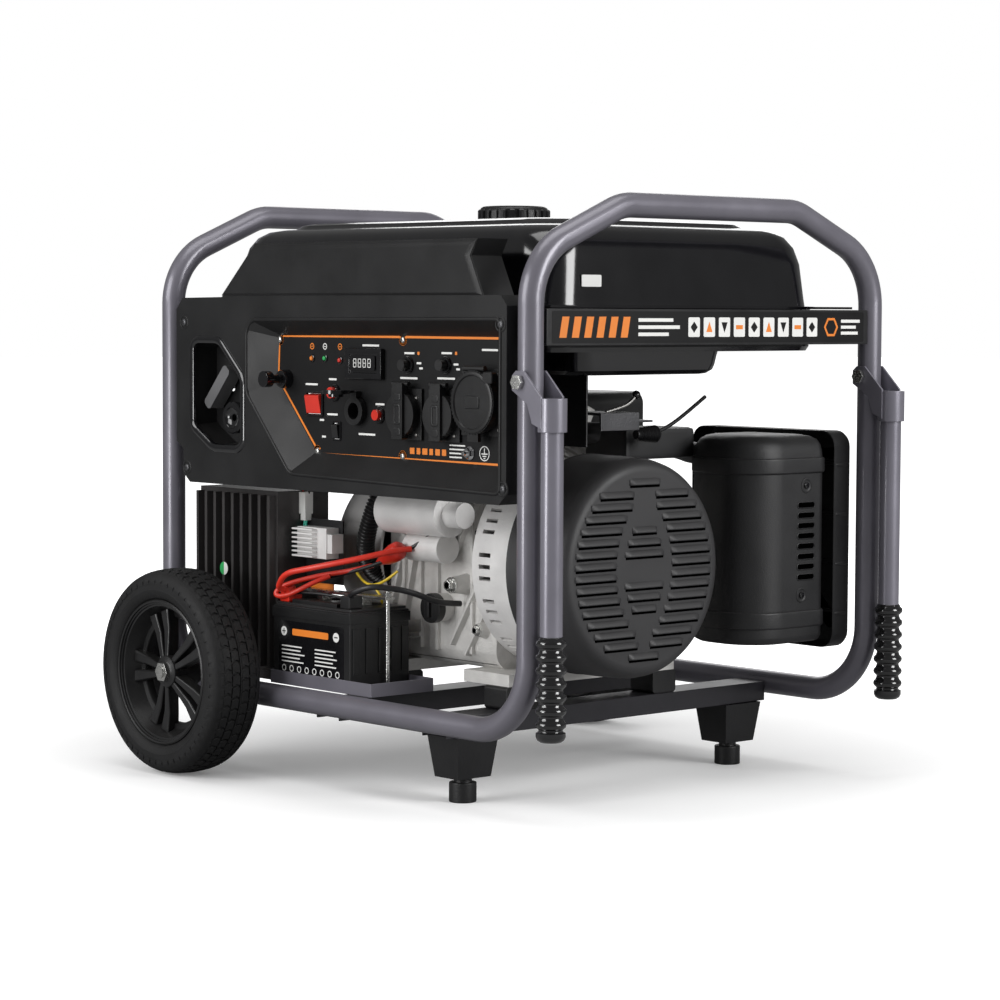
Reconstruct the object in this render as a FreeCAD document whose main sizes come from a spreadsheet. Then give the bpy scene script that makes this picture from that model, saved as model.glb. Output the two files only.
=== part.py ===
import FreeCAD, Part
import math
import os
import re
import Sketcher
from FreeCAD import Placement, Rotation, Vector

# Open-frame inverter generator on two wheels, in millimetres.
# +X is the end with the lifting handles, -Y is the control panel side, +Z is up.
# The origin is on the floor, under the middle of the whole machine.

# ---------------------------------------------------------------- driving sizes
SIZES = {
    # frame
    "mid": -15.5,               # frame centre, measured from the middle of the machine
    "post_x": 372.5,            # frame centre to the post centres, along X
    "post_y": 313.4,
    "tube_r": 16,
    "tube_wall": 2,
    "top_z": 769,               # centre of the top tube
    "shoulder_z": 703,
    "shoulder_y": 160,
    "rail_z": 112,
    "rail_bend": 95,
    "joint_z": 212,             # where the rails are welded to the loops
    "weld_gap": 0.05,
    # tank beams and channels under the engine
    "beam_top": 639,
    "beam_height": 46,
    "beam_reach": 10.5,         # beam web beyond the post centre
    "beam_flange": 34,
    "sheet": 3,
    "channel_x": 175,           # channel under the feet
    "inner_channel_x": -44,     # channel under the middle of the engine
    "channel_width": 50,
    "channel_top": 115,
    "channel_height": 27,
    # feet
    "foot_y": 248,
    "foot_r": 18,
    "foot_height": 26,
    "bracket_bottom": 33,
    "bracket_length": 61,
    "bracket_width": 70,
    "bracket_taper": 7,
    # wheels
    "wheel_x": -258,            # wheel axle, from the frame centre
    "wheel_out": 72.6,          # wheel centres beyond the post centres, along Y
    "tyre_r": 141,
    "tyre_width": 80,
    "tyre_shoulder": 22,
    "rim_r": 98,
    "rim_width": 64,
    "hub_r": 22,
    "hub_width": 44,
    "spoke_count": 6,
    "axle_r": 8,
    "axle_sleeve_r": 12.5,
    "axle_out": 107.6,          # ends of the axle bar beyond the post centres
    "running": 0.05,            # radial clearance of the running fits
    "moving_gap": 0.4,               # gap between pieces that move past each other
    # handles
    "pivot_z": 549,
    "pivot_bolt_r": 5,
    "handle_out": 39.5,         # handle tube centre beyond the post centre
    "handle_r": 14,
    "handle_top": 530,
    "handle_end": 114,
    "sleeve_r": 18,
    "sleeve_bottom": 489,
    "clevis_plate": 3,
    "grip_r": 17.5,
    "grip_top": 240,
    "grip_bottom": 110,
    # fuel tank
    "tank_half_x": 335,
    "tank_half_y": 250,
    "tank_top": 755,
    "tank_flange_z": 640,
    "tank_flange": 11,
    "tank_pan_bottom": 584,
    "tank_belly_bottom": 554,
    "tank_wall": 2,
    "tank_round": 46,
    "cap_x": -5,
    "cap_r": 50,
    "cap_top": 780,
    "neck_r": 34,
    # panel housing
    "face_y": 331,              # front of the housing, towards -Y
    "face_depth": 50,
    "shell": 3,
    "panel_depth": 23,          # the control plate lies this far behind the face
    "pocket_depth": 40,         # depth of the window of the pull handle
    "plate": 2,
    # controls
    "socket_x": 33,             # 12 volt socket
    "socket_z": 504,
    "outlet_hinge_z": 542,
    "flap_r": 28,
    "flap_bar": 20,             # width of the finger bar on a small flap
    "large_x": 281,             # large outlet
    "large_z": 522,
    "large_lid_r": 40,
    # engine and alternator
    "crank_y": -72,
    "crank_z": 303,
    "crank_r": 15,
    "case_left": -70,
    "case_right": 148,
    "case_front": -166,
    "case_back": 95,
    "case_bottom": 160,
    "case_top": 400,
    "case_wall": 7,
    "foot_drop": 14,            # depth of the engine feet below the crankcase
    "plug_x": 45,               # oil filler spout
    "plug_z": 238,
    "bell_r": 138,
    "bell_end": 222,
    "cover_r": 146,
    "cover_end": 330,
    "stator_r": 118,
    "rotor_r": 76,
    "air_gap": 1.5,
    "cylinder_tilt": 25,
    # exhaust
    "muffler_left": 190,
    "muffler_right": 335,
    "muffler_front": 125,
    "muffler_back": 272,
    "muffler_bottom": 186,
    "muffler_top": 470,
    "muffler_wall": 1.5,
    "guard_y": 310,
    "guard_right": 346,
    # battery
    "battery_left": -153,
    "battery_right": 13,
    "battery_front": -305,
    "battery_back": -203,
    "battery_top": 236,
    "tray_lip": 18,
}

doc = FreeCAD.newDocument("generator")
sheet = doc.addObject("Spreadsheet::Sheet", "Sizes")
for row, (word, value) in enumerate(SIZES.items(), start=1):
    sheet.set("A%d" % row, word)
    sheet.set("B%d" % row, str(value))
    sheet.setAlias("B%d" % row, word)
doc.recompute()

WORD = re.compile(r"[a-z]+(?:_[a-z0-9]+)*")
FINISHED = []


# ---------------------------------------------------------------- small helpers
def linked(text):
    """A size written in the sheet's words, as an expression on the sheet."""
    return WORD.sub(lambda hit: ("Sizes." if hit.group(0) in SIZES else "") + hit.group(0), str(text))


def number(text):
    """The present value of a size expression."""
    if isinstance(text, (int, float)):
        return float(text)
    return float(sheet.evalExpression(linked(text)))


def bind(item, prop, text):
    item.setExpression(prop, linked(text))


def seat(item, at, turn=None):
    """Place an object by three size expressions and a fixed rotation."""
    item.Placement = Placement(Vector(), turn or Rotation())
    for axis, text in zip("xyz", at):
        bind(item, "Placement.Base." + axis, text)


def part(kind, name):
    return doc.addObject(kind, name)


def block(name, x, y, z):
    """A box between two limits along each axis."""
    item = part("Part::Box", name)
    for prop, (low, high) in zip(("Length", "Width", "Height"), (x, y, z)):
        bind(item, prop, "(%s) - (%s)" % (high, low))
    seat(item, (x[0], y[0], z[0]))
    return item


TURN = {"X": Rotation(Vector(0, 1, 0), 90), "Y": Rotation(Vector(1, 0, 0), -90), "Z": Rotation()}


def rod(name, axis, across, radius, low, high):
    """A cylinder along an axis; across is its centre on the other two axes, in order."""
    item = part("Part::Cylinder", name)
    bind(item, "Radius", radius)
    bind(item, "Height", "(%s) - (%s)" % (high, low))
    at = list(across)
    at.insert("XYZ".index(axis), low)
    seat(item, at, TURN[axis])
    return item


def cone(name, axis, across, radius_low, radius_high, low, high):
    item = part("Part::Cone", name)
    bind(item, "Radius1", radius_low)
    bind(item, "Radius2", radius_high)
    bind(item, "Height", "(%s) - (%s)" % (high, low))
    at = list(across)
    at.insert("XYZ".index(axis), low)
    seat(item, at, TURN[axis])
    return item


def join(name, *items):
    item = part("Part::MultiFuse", name)
    item.Shapes = list(items)
    item.Refine = True
    return item


def cut(name, base, *tools):
    item = part("Part::Cut", name)
    item.Base = base
    item.Tool = tools[0] if len(tools) == 1 else join(name + "_tools", *tools)
    item.Refine = True
    return item


def ease(name, base, radius, chosen):
    """Round the edges of base that chosen accepts."""
    doc.recompute()
    size = number(radius)
    picked = [index for index, edge in enumerate(base.Shape.Edges, start=1) if chosen(edge)]
    item = part("Part::Fillet", name)
    item.Base = base
    item.Edges = [(index, size, size) for index in picked]
    return item


def along(axis):
    """Chooses straight edges parallel to an axis."""
    way = {"X": Vector(1, 0, 0), "Y": Vector(0, 1, 0), "Z": Vector(0, 0, 1)}[axis]

    def chosen(edge):
        ends = edge.Vertexes
        if len(ends) != 2 or edge.Curve.TypeId != "Part::GeomLine":
            return False
        run = ends[1].Point.sub(ends[0].Point)
        return run.Length > 1 and abs(run.normalize().dot(way)) > 0.999
    return chosen


def level(axis, text, slack=0.01):
    """Chooses edges that lie wholly at one height along an axis."""
    at = number(text)
    place = "XYZ".index(axis)

    def chosen(edge):
        box = edge.BoundBox
        low = (box.XMin, box.YMin, box.ZMin)[place]
        high = (box.XMax, box.YMax, box.ZMax)[place]
        return abs(low - at) < slack and abs(high - at) < slack
    return chosen


PLANE = {"XY": "XY_Plane", "XZ": "XZ_Plane", "YZ": "YZ_Plane"}


def sketch(body, name, plane, points, offset="0"):
    """A closed outline of straight lines, each corner bound to two size expressions."""
    drawing = body.newObject("Sketcher::SketchObject", name)
    base = [item for item in body.Origin.OriginFeatures if item.Role == PLANE[plane]][0]
    drawing.AttachmentSupport = [(base, "")]
    drawing.MapMode = "FlatFace"
    bind(drawing, "AttachmentOffset.Base.z", offset)
    corners = [(number(across), number(up)) for across, up in points]
    count = len(corners)
    for index, (across, up) in enumerate(corners):
        following = corners[(index + 1) % count]
        line = Part.LineSegment(Vector(across, up, 0), Vector(following[0], following[1], 0))
        drawing.addGeometry(line)
    for index in range(count):
        drawing.addConstraint(Sketcher.Constraint("Coincident", index, 2, (index + 1) % count, 1))
    for index, corner in enumerate(points):
        for kind, text, start in zip(("DistanceX", "DistanceY"), corner, corners[index]):
            made = drawing.addConstraint(Sketcher.Constraint(kind, -1, 1, index, 1, start))
            bind(drawing, "Constraints[%d]" % made, text)
    return drawing


def slab(name, plane, points, thickness, offset="0"):
    """A PartDesign body: one outline padded along the plane's normal."""
    body = part("PartDesign::Body", name)
    pad = body.newObject("PartDesign::Pad", name + "_pad")
    pad.Profile = sketch(body, name + "_outline", plane, points, offset)
    bind(pad, "Length", thickness)
    return body


def turned(name, points, at, turn=None):
    """A PartDesign body turned about its own Z axis from a half outline of (radius, height)."""
    body = part("PartDesign::Body", name)
    outline = sketch(body, name + "_outline", "XZ", points)
    spin = body.newObject("PartDesign::Revolution", name + "_turn")
    spin.Profile = outline
    spin.ReferenceAxis = ([item for item in body.Origin.OriginFeatures if item.Role == "Z_Axis"][0], [""])
    spin.Angle = 360
    seat(body, at, turn)
    return body


def coded(name, shape):
    """A sub-part whose shape is worked out here from the sheet's sizes."""
    item = part("Part::Feature", name)
    item.Shape = shape
    item.Placement = Placement()
    return item


def finish(item, label):
    """Name a finished sub-part; the label is its file name."""
    item.Label = label
    FINISHED.append(item)
    return item


def spot(x, y, z):
    return Vector(number(x), number(y), number(z))


def bent_path(points, radii):
    """Straight runs joined by tangent arcs."""
    edges = []
    start = points[0]
    for before, corner, after, radius in zip(points, points[1:], points[2:], radii):
        back = before.sub(corner).normalize()
        onward = after.sub(corner).normalize()
        half = back.getAngle(onward) / 2
        first = corner + back * (radius / math.tan(half))
        last = corner + onward * (radius / math.tan(half))
        inward = (back + onward).normalize()
        middle = corner + inward * (radius / math.sin(half) - radius)
        if first.sub(start).Length > 0.001:
            edges.append(Part.LineSegment(start, first).toShape())
        edges.append(Part.Arc(first, middle, last).toShape())
        start = last
    edges.append(Part.LineSegment(start, points[-1]).toShape())
    return Part.Wire(edges)


def bent_tube(points, radii, radius, wall=0):
    """A round tube, or a solid rod when wall is 0, along a bent path."""
    path = bent_path(points, radii)
    heading = points[1].sub(points[0])
    rings = [radius] if wall == 0 else [radius, radius - wall]
    solids = []
    for size in rings:
        ring = Part.Wire(Part.Circle(points[0], heading, size).toShape())
        solids.append(path.makePipeShell([ring], True, False))
    return solids[0] if wall == 0 else solids[0].cut(solids[1])


def cord_radii(points):
    """The largest tidy arc at each inner point of a cord's route."""
    radii = []
    for before, corner, after in zip(points, points[1:], points[2:]):
        shorter = min(before.sub(corner).Length, after.sub(corner).Length)
        turn = math.pi - before.sub(corner).getAngle(after.sub(corner))
        radii.append(0.45 * shorter / math.tan(turn / 2))
    return radii


# ---------------------------------------------------------------- welded tube frame
def frame_loops():
    """Each end of the frame is one tube bent over the tank from front post to rear post."""
    for side, sign in (("right", 1), ("left", -1)):
        across = number("mid") + sign * number("post_x")
        wide = number("post_y")
        narrow = number("shoulder_y")
        low = number("joint_z + weld_gap")
        rise = number("shoulder_z")
        top = number("top_z")
        outline = [(-wide, low), (-wide, rise), (-narrow, top), (narrow, top), (wide, rise), (wide, low)]
        points = [Vector(across, y, z) for y, z in outline]
        shape = bent_tube(points, [90, 80, 80, 90], number("tube_r"), number("tube_wall"))
        if side == "right":
            reach = wide + number("tube_r")
            bore = Part.makeCylinder(number("pivot_bolt_r"), 2 * reach,
                                     Vector(across, -reach, number("pivot_z")), Vector(0, 1, 0))
            shape = shape.cut(bore)
        finish(coded("loop_" + side, shape), "frame_loop_" + side)


def frame_rails():
    """The bottom rails turn up at both ends and meet the loops."""
    for side, sign in (("front", -1), ("rear", 1)):
        depth = sign * number("post_y")
        left = number("mid - post_x")
        right = number("mid + post_x")
        top = number("joint_z")
        low = number("rail_z")
        points = [Vector(left, depth, top), Vector(left, depth, low),
                  Vector(right, depth, low), Vector(right, depth, top)]
        bend = number("rail_bend")
        shape = bent_tube(points, [bend, bend], number("tube_r"), number("tube_wall"))
        finish(coded("rail_" + side, shape), "frame_rail_" + side)


def tank_beams():
    """A folded channel across each end loop carries the fuel tank."""
    half = "(post_y - tube_r - 0.4)"
    for side, sign in (("right", "+"), ("left", "-")):
        web = "(mid %s (post_x + beam_reach))" % sign
        inner = "(mid %s (post_x + beam_reach - sheet))" % sign
        edge = "(mid %s (post_x + beam_reach - beam_flange))" % sign
        lip = "(mid %s (post_x + beam_reach - beam_flange / 2))" % sign
        low = "(beam_top - beam_height)"
        points = [(web, low), (web, "beam_top"), (edge, "beam_top"), (edge, "beam_top - sheet"),
                  (inner, "beam_top - sheet"), (inner, low + " + sheet"),
                   (lip, low + " + sheet"), (lip, low)]
        beam = slab("beam_" + side, "XZ", points, half + " * 2", "-" + half)
        finish(beam, "tank_beam_" + side)


def cross_channels():
    """Two open channels between the rails carry the engine mounts and the feet."""
    half = "(post_y - tube_r - 0.6)"
    for side, word in (("right", "channel_x"), ("left", "inner_channel_x")):
        centre = "(mid + %s)" % word
        low = "(%s - channel_width / 2)" % centre
        high = "(%s + channel_width / 2)" % centre
        bottom = "(channel_top - channel_height)"
        points = [(low, bottom), (low, "channel_top"), (high, "channel_top"), (high, bottom),
                  (high + " - sheet", bottom), (high + " - sheet", "channel_top - sheet"),
                  (low + " + sheet", "channel_top - sheet"), (low + " + sheet", bottom)]
        finish(slab("channel_" + side, "XZ", points, half + " * 2", "-" + half), "cross_channel_" + side)


def wedge(name, x, y, z, inset):
    """A tapered block: full size at the top, drawn in by inset at the bottom."""
    item = part("Part::Wedge", name)
    bind(item, "Xmin", "(%s) + %s" % (x[0], inset))
    bind(item, "Xmax", "(%s) - %s" % (x[1], inset))
    bind(item, "Zmin", "(%s) + %s" % (z[0], inset))
    bind(item, "Zmax", "(%s) - %s" % (z[1], inset))
    bind(item, "Ymin", y[0])
    bind(item, "Ymax", y[1])
    bind(item, "X2min", x[0])
    bind(item, "X2max", x[1])
    bind(item, "Z2min", z[0])
    bind(item, "Z2max", z[1])
    item.Placement = Placement(Vector(), Rotation(Vector(1, 0, 0), 90))
    return item


def feet():
    """Stamped brackets under the right channel, each with a rubber foot on a stud."""
    brackets = []
    rubbers = []
    centre = "(mid + channel_x)"
    top = "(channel_top - channel_height - 0.1)"
    half_x = "bracket_length / 2"
    half_y = "bracket_width / 2"
    for side, sign in (("front", "+"), ("rear", "-")):
        # the wedge lies on its side, so its own Z limits run towards -Y
        middle = "(%s foot_y)" % sign
        x = (centre + " - " + half_x, centre + " + " + half_x)
        z = (middle + " - " + half_y, middle + " + " + half_y)
        outer = wedge("bracket_outer_" + side, x, ("bracket_bottom", top), z, "bracket_taper")
        inner_x = (x[0] + " + sheet", x[1] + " - sheet")
        inner_z = (z[0] + " + sheet", z[1] + " - sheet")
        inner = wedge("bracket_inner_" + side, inner_x, ("bracket_bottom + sheet", top + " + 1"),
                      inner_z, "bracket_taper")
        inner.Placement = outer.Placement
        stud_y = "(0 - %s)" % middle
        hole = rod("bracket_hole_" + side, "Z", (centre, stud_y), "5.2", "bracket_bottom - 1",
                   "bracket_bottom + 5")
        brackets.append(cut("bracket_" + side, outer, inner, hole))
        pad = rod("foot_pad_" + side, "Z", (centre, stud_y), "foot_r", "0", "foot_height")
        stud = rod("foot_stud_" + side, "Z", (centre, stud_y), "5", "foot_height", "bracket_bottom + 12")
        washer = rod("foot_washer_" + side, "Z", (centre, stud_y), "12", "foot_height",
                     "bracket_bottom - 0.2")
        rubbers.append(join("foot_" + side, pad, stud, washer))
    finish(join("brackets", *brackets), "foot_brackets")
    finish(join("rubber_pads", *rubbers), "rubber_feet")


# ---------------------------------------------------------------- wheels and axle
def wheels():
    centre = ("mid + wheel_x", "tyre_r")
    bar = rod("axle_bar", "Y", centre, "axle_r", "0 - post_y - axle_out",
              "post_y + axle_out")
    sleeve_half = "(post_y + wheel_out - hub_width / 2 - 6)"
    sleeve = rod("axle_sleeve", "Y", centre, "axle_sleeve_r", "0 - " + sleeve_half, sleeve_half)
    finish(join("axle_bar_and_sleeve", bar, sleeve), "axle")
    for side, sign in (("front", -1), ("rear", 1)):
        face = Rotation(Vector(1, 0, 0), 90 if sign < 0 else -90)
        middle = ("mid + wheel_x", "%d * (post_y + wheel_out)" % sign, "tyre_r")
        half = "(hub_width / 2)"
        bore = "(axle_r + running)"
        hub = turned("hub_" + side, [(bore, "0 - " + half), ("hub_r", "0 - " + half),
                                     ("hub_r", half), (bore, half)], middle, face)
        width = "(rim_width / 2)"
        drop = "(rim_r - 10)"
        rim = turned("rim_" + side,
                     [("rim_r", "0 - " + width), ("rim_r", width), (drop, width),
                      (drop, "6"), (drop + " - 4", "0"), (drop, "-6"), (drop, "0 - " + width)],
             middle, face)
        spokes = []
        for index in range(SIZES["spoke_count"]):
            spoke = part("Part::Box", "spoke_%s_%d" % (side, index))
            bind(spoke, "Length", "rim_r - 8 - hub_r")
            spoke.Width = 20
            spoke.Height = 14
            angle = 360.0 * index / SIZES["spoke_count"] + 30
            spin = face.multiply(Rotation(Vector(0, 0, 1), angle))
            corner = spin.multVec(Vector(number("hub_r") - 2, -10, -7))
            spoke.Placement = Placement(spot(*middle) + corner, spin)
            spokes.append(spoke)
        finish(join("rim_and_spokes_" + side, hub, rim, *spokes), "wheel_" + side)
        edge = "(tyre_width / 2)"
        tyre = turned("tyre_blank_" + side,
                      [("rim_r", "0 - (rim_width / 2)"), ("rim_r + 6", "0 - %s + 4" % edge),
                       ("tyre_r - tyre_shoulder", "0 - " + edge), ("tyre_r - 5", "0 - %s + 10" % edge),
                       ("tyre_r", "-18"), ("tyre_r", "18"), ("tyre_r - 5", edge + " - 10"),
                       ("tyre_r - tyre_shoulder", edge), ("rim_r + 6", edge + " - 4"),
                       ("rim_r", "rim_width / 2")], middle, face)
        finish(tyre, "tyre_" + side)


def hexagon(name, axis, across, flats, low, high):
    """A hexagon bar along an axis, for nuts and bolt heads."""
    item = part("Part::Prism", name)
    item.Polygon = 6
    bind(item, "Circumradius", "(%s) / 1.7320508" % flats)
    bind(item, "Height", "(%s) - (%s)" % (high, low))
    at = list(across)
    at.insert("XYZ".index(axis), low)
    seat(item, at, TURN[axis])
    return item


def bolts():
    """Handle pivot bolts with their heads and nuts, and the two axle nuts."""
    pieces = []
    pivot = ("mid + post_x", "pivot_z")
    plate = "(tube_r + moving_gap + clevis_plate + 0.2)"
    for side, sign in (("front", "-1"), ("rear", "1")):
        middle = "(%s * post_y)" % sign
        low = "(%s - %s)" % (middle, plate)
        high = "(%s + %s)" % (middle, plate)
        shank = rod("pivot_shank_" + side, "Y", pivot, "pivot_bolt_r", low, high)
        head = hexagon("pivot_head_" + side, "Y", pivot, "17", low + " - 6", low)
        nut = hexagon("pivot_nut_" + side, "Y", pivot, "17", high, high + " + 7")
        pieces.append(join("pivot_" + side, shank, head, nut))
    axle = ("mid + wheel_x", "tyre_r")
    hub = "(post_y + wheel_out + hub_width / 2 + moving_gap)"
    for side, low, high in (("front", "0 - %s - 10" % hub, "0 - " + hub), ("rear", hub, hub + " + 10")):
        nut = hexagon("axle_nut_blank_" + side, "Y", axle, "24", low, high)
        hole = rod("axle_nut_hole_" + side, "Y", axle, "axle_r", low + " - 1", high + " + 1")
        pieces.append(cut("axle_nut_" + side, nut, hole))
    finish(join("bolts_all", *pieces), "bolts_and_nuts")


# ---------------------------------------------------------------- lifting handles
def handles():
    """Two folding handles hang on pivot bolts through the right posts."""
    out = "(mid + post_x + handle_out)"
    pivot_x = "(mid + post_x)"
    for side, sign in (("front", "-1"), ("rear", "1")):
        middle = "(%s * post_y)" % sign
        tube = rod("handle_bar_" + side, "Z", (out, middle), "handle_r", "handle_end", "handle_top")
        bore = rod("handle_bore_" + side, "Z", (out, middle), "handle_r - 2", "handle_end - 1",
                   "handle_top - 3")
        sleeve = rod("handle_sleeve_" + side, "Z", (out, middle), "sleeve_r", "sleeve_bottom", "handle_top")
        plates = []
        for face, inner in (("near", "-1"), ("far", "1")):
            start = "(%s + %s * (tube_r + moving_gap))" % (middle, inner)
            offset = "0 - %s" % start if inner == "-1" else "0 - %s - clevis_plate" % start
            outline = [(pivot_x + " - 13", "pivot_z - 10"), (pivot_x + " - 13", "pivot_z + 8"),
                       (pivot_x + " - 6", "pivot_z + 14"), (pivot_x + " + 8", "pivot_z + 14"),
                       (out, "handle_top + 2"), (out, "sleeve_bottom + 4"),
                       (out + " - 16", "sleeve_bottom + 10"), (pivot_x + " + 14", "pivot_z - 26")]
            plates.append(slab("clevis_%s_%s" % (side, face), "XZ", outline, "clevis_plate", offset))
        hole = rod("pivot_hole_" + side, "Y", (pivot_x, "pivot_z"), "pivot_bolt_r + running",
                   middle + " - 40", middle + " + 40")
        solid = join("handle_solid_" + side, tube, sleeve, *plates)
        finish(cut("handle_cut_" + side, solid, bore, hole), "handle_" + side)

        grip_points = [("handle_r", "0"), ("handle_r + 2.4", "0")]
        rings = 7
        pitch = "((grip_top - grip_bottom - 18) / %d)" % rings
        for index in range(rings):
            low = "12 + %d * %s" % (index, pitch)
            grip_points.append(("grip_r", low))
            grip_points.append(("grip_r - 2.6", "%s + %s - 1.5" % (low, pitch)))
        height = "(grip_top - grip_bottom)"
        grip_points += [("handle_r + 1.2", height + " - 4"), ("handle_r + 1.2", height),
                        ("handle_r", height)]
        body = turned("grip_ring_" + side, grip_points, (out, middle, "grip_bottom"))
        cap = rod("grip_cap_" + side, "Z", (out, middle), "handle_r + 0.2", "grip_bottom", "handle_end")
        finish(join("grip_" + side, body, cap), "handle_grip_" + side)


# ---------------------------------------------------------------- fuel tank
def fuel_tank():
    """Pressed steel tank: an upper shell and a stepped lower pan on one flange."""
    def hull(name, grow):
        left = "(mid - tank_half_x + %s)" % grow
        right = "(mid + tank_half_x - %s)" % grow
        front = "(0 - tank_half_y + %s)" % grow
        back = "(tank_half_y - %s)" % grow
        seam = "(tank_flange_z + 2)"
        upper = block(name + "_upper", (left, right), (front, back), (seam, "tank_top - %s" % grow))
        upper = ease(name + "_corners", upper, 48, along("Z"))
        upper = ease(name + "_shoulder", upper, "tank_round - %s" % grow,
                     level("Z", "tank_top - %s" % grow))
        pan = block(name + "_pan", (left + " + 4", right + " - 4"), (front + " + 4", back + " - 4"),
                    ("tank_pan_bottom + %s" % grow, seam))
        pan = ease(name + "_pan_corners", pan, 40, along("Z"))
        belly = block(name + "_belly", (left + " + 60", right + " - 4"),
                      (front + " + 55", "70 - %s" % grow),
                      ("tank_belly_bottom + %s" % grow, "tank_pan_bottom + 8"))
        belly = ease(name + "_belly_corners", belly, 30, along("Z"))
        return join(name, upper, pan, belly)

    outer = hull("tank_outer", "0")
    inner = hull("tank_inner", "tank_wall")
    half_x = "(tank_half_x + tank_flange)"
    flange = block("tank_flange_blank", ("mid - " + half_x, "mid + " + half_x),
                   ("0 - tank_half_y - tank_flange", "tank_half_y + tank_flange"),
                   ("tank_flange_z", "tank_flange_z + 3"))
    flange = ease("tank_flange_plate", flange, 52, along("Z"))
    tabs = []
    for across in ("-1", "1"):
        x = ["mid + %s * (tank_half_x - 60)" % across, "mid + %s * (post_x - 2)" % across]
        if across == "-1":
            x.reverse()
        for sign in ("-1", "1"):
            y = ["%s * 205" % sign, "%s * 279" % sign]
            if sign == "-1":
                y.reverse()
            tab = block("tank_tab_%s_%s" % (across.replace("-", "m"), sign.replace("-", "m")),
                        x, y, ("tank_flange_z", "tank_flange_z + 3"))
            tabs.append(tab)
    neck = rod("tank_neck", "Z", ("mid + cap_x", "0"), "neck_r", "tank_top - 8", "tank_top + 10")
    throat = rod("tank_throat", "Z", ("mid + cap_x", "0"), "neck_r - 3", "tank_top - 20", "tank_top + 12")
    shell = join("tank_solid", outer, flange, neck, *tabs)
    finish(cut("tank_shell", shell, inner, throat), "fuel_tank")

    low = "(tank_top + 2)"
    skirt = rod("cap_skirt", "Z", ("mid + cap_x", "0"), "cap_r", low, "cap_top - 4")
    crown = cone("cap_crown", "Z", ("mid + cap_x", "0"), "cap_r", "cap_r - 4", "cap_top - 4", "cap_top")
    hollow = rod("cap_hollow", "Z", ("mid + cap_x", "0"), "neck_r + moving_gap", low + " - 1",
                 "tank_top + 10 + moving_gap")
    flutes = []
    for index in range(12):
        turn = math.radians(30 * index)
        place = ("mid + cap_x + (cap_r + 5) * %.6f" % math.cos(turn), "(cap_r + 5) * %.6f" % math.sin(turn))
        flutes.append(rod("cap_flute_%d" % index, "Z", place, "8", low + " - 1", "cap_top + 1"))
    finish(cut("cap_cut", join("cap_solid", skirt, crown), hollow, *flutes), "fuel_cap")


# ---------------------------------------------------------------- control panel
HOUSING = [("-341", "452"), ("-341", "636"), ("-327", "652"), ("-235", "653"), ("-160", "725"),
           ("294", "725"),
           ("282", "704"), ("306", "655"), ("337", "655"), ("348", "642"), ("348", "410"), ("334", "397"),
           ("-310", "396"), ("-325", "408"), ("-325", "442")]
MOUTH = [("-177", "524"), ("-177", "608"), ("-166", "620"), ("334", "623"), ("334", "413"), ("-83", "420")]
PLATE = [("-139", "541"), ("-134", "598"), ("-131", "601"), ("322", "604"), ("322", "444"), ("-55", "447")]
WINDOW = [("-301", "476"), ("-301", "585"), ("-292", "591"), ("-243", "591"), ("-191", "542"),
          ("-191", "456"),
          ("-200", "449"), ("-255", "449")]
ROPE = (-262, 529)                           # where the starting rope leaves the housing


def shifted(outline, grow=0.0):
    """An outline in frame coordinates, moved out from its middle by grow."""
    across = [float(x) for x, _ in outline]
    up = [float(z) for _, z in outline]
    centre = ((min(across) + max(across)) / 2, (min(up) + max(up)) / 2)
    moved = []
    for x, z in zip(across, up):
        side = math.copysign(1, x - centre[0])
        rise = math.copysign(1, z - centre[1])
        moved.append(("mid + %g" % (x + side * grow), "%g" % (z + rise * grow)))
    return moved


def funnel(body, name, kind, front, back, front_offset, back_offset):
    """A straight-sided loft between two outlines of the same number of corners."""
    loft = body.newObject("PartDesign::" + kind, name)
    loft.Profile = sketch(body, name + "_front", "XZ", front, front_offset)
    loft.Sections = [sketch(body, name + "_back", "XZ", back, back_offset)]
    loft.Ruled = True
    return loft


def panel_housing():
    """Moulded front housing with the sunken mouth of the control plate and the side window."""
    body = part("PartDesign::Body", "housing")
    pad = body.newObject("PartDesign::Pad", "housing_pad")
    pad.Profile = sketch(body, "housing_outline", "XZ", shifted(HOUSING), "face_y - face_depth")
    bind(pad, "Length", "face_depth")
    doc.recompute()
    back = -number("face_y - face_depth")
    faces = ["Face%d" % index for index, face in enumerate(pad.Shape.Faces, start=1)
             if abs(face.CenterOfMass.y - back) < 0.001]
    hollow = body.newObject("PartDesign::Thickness", "housing_hollow")
    hollow.Base = (pad, faces)
    bind(hollow, "Value", "shell")
    hollow.Reversed = True
    doc.recompute()
    funnel(body, "mouth_wall", "AdditiveLoft", shifted(MOUTH, 3), shifted(PLATE, 3),
           "face_y", "face_y - panel_depth")
    funnel(body, "mouth_opening", "SubtractiveLoft", shifted(MOUTH), shifted(PLATE),
           "face_y + 0.01", "face_y - panel_depth - 0.01")
    funnel(body, "window_wall", "AdditiveLoft", shifted(WINDOW, 3), shifted(WINDOW, 0),
           "face_y", "face_y - pocket_depth")
    funnel(body, "window_opening", "SubtractiveLoft", shifted(WINDOW), shifted(WINDOW, -3),
           "face_y + 0.01", "face_y - pocket_depth - 0.01")
    funnel(body, "pocket_floor", "AdditiveLoft", shifted(WINDOW, -1), shifted(WINDOW, -1),
           "face_y - pocket_depth + 2", "face_y - pocket_depth - 1")
    ring = [("%g" % (ROPE[0] + 7 * math.cos(math.radians(45 * step))),
             "%g" % (ROPE[1] + 7 * math.sin(math.radians(45 * step)))) for step in range(8)]
    funnel(body, "rope_hole", "SubtractiveLoft", shifted(ring), shifted(ring),
           "face_y - pocket_depth + 4", "face_y - pocket_depth - 4")
    finish(body, "panel_housing")


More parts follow.
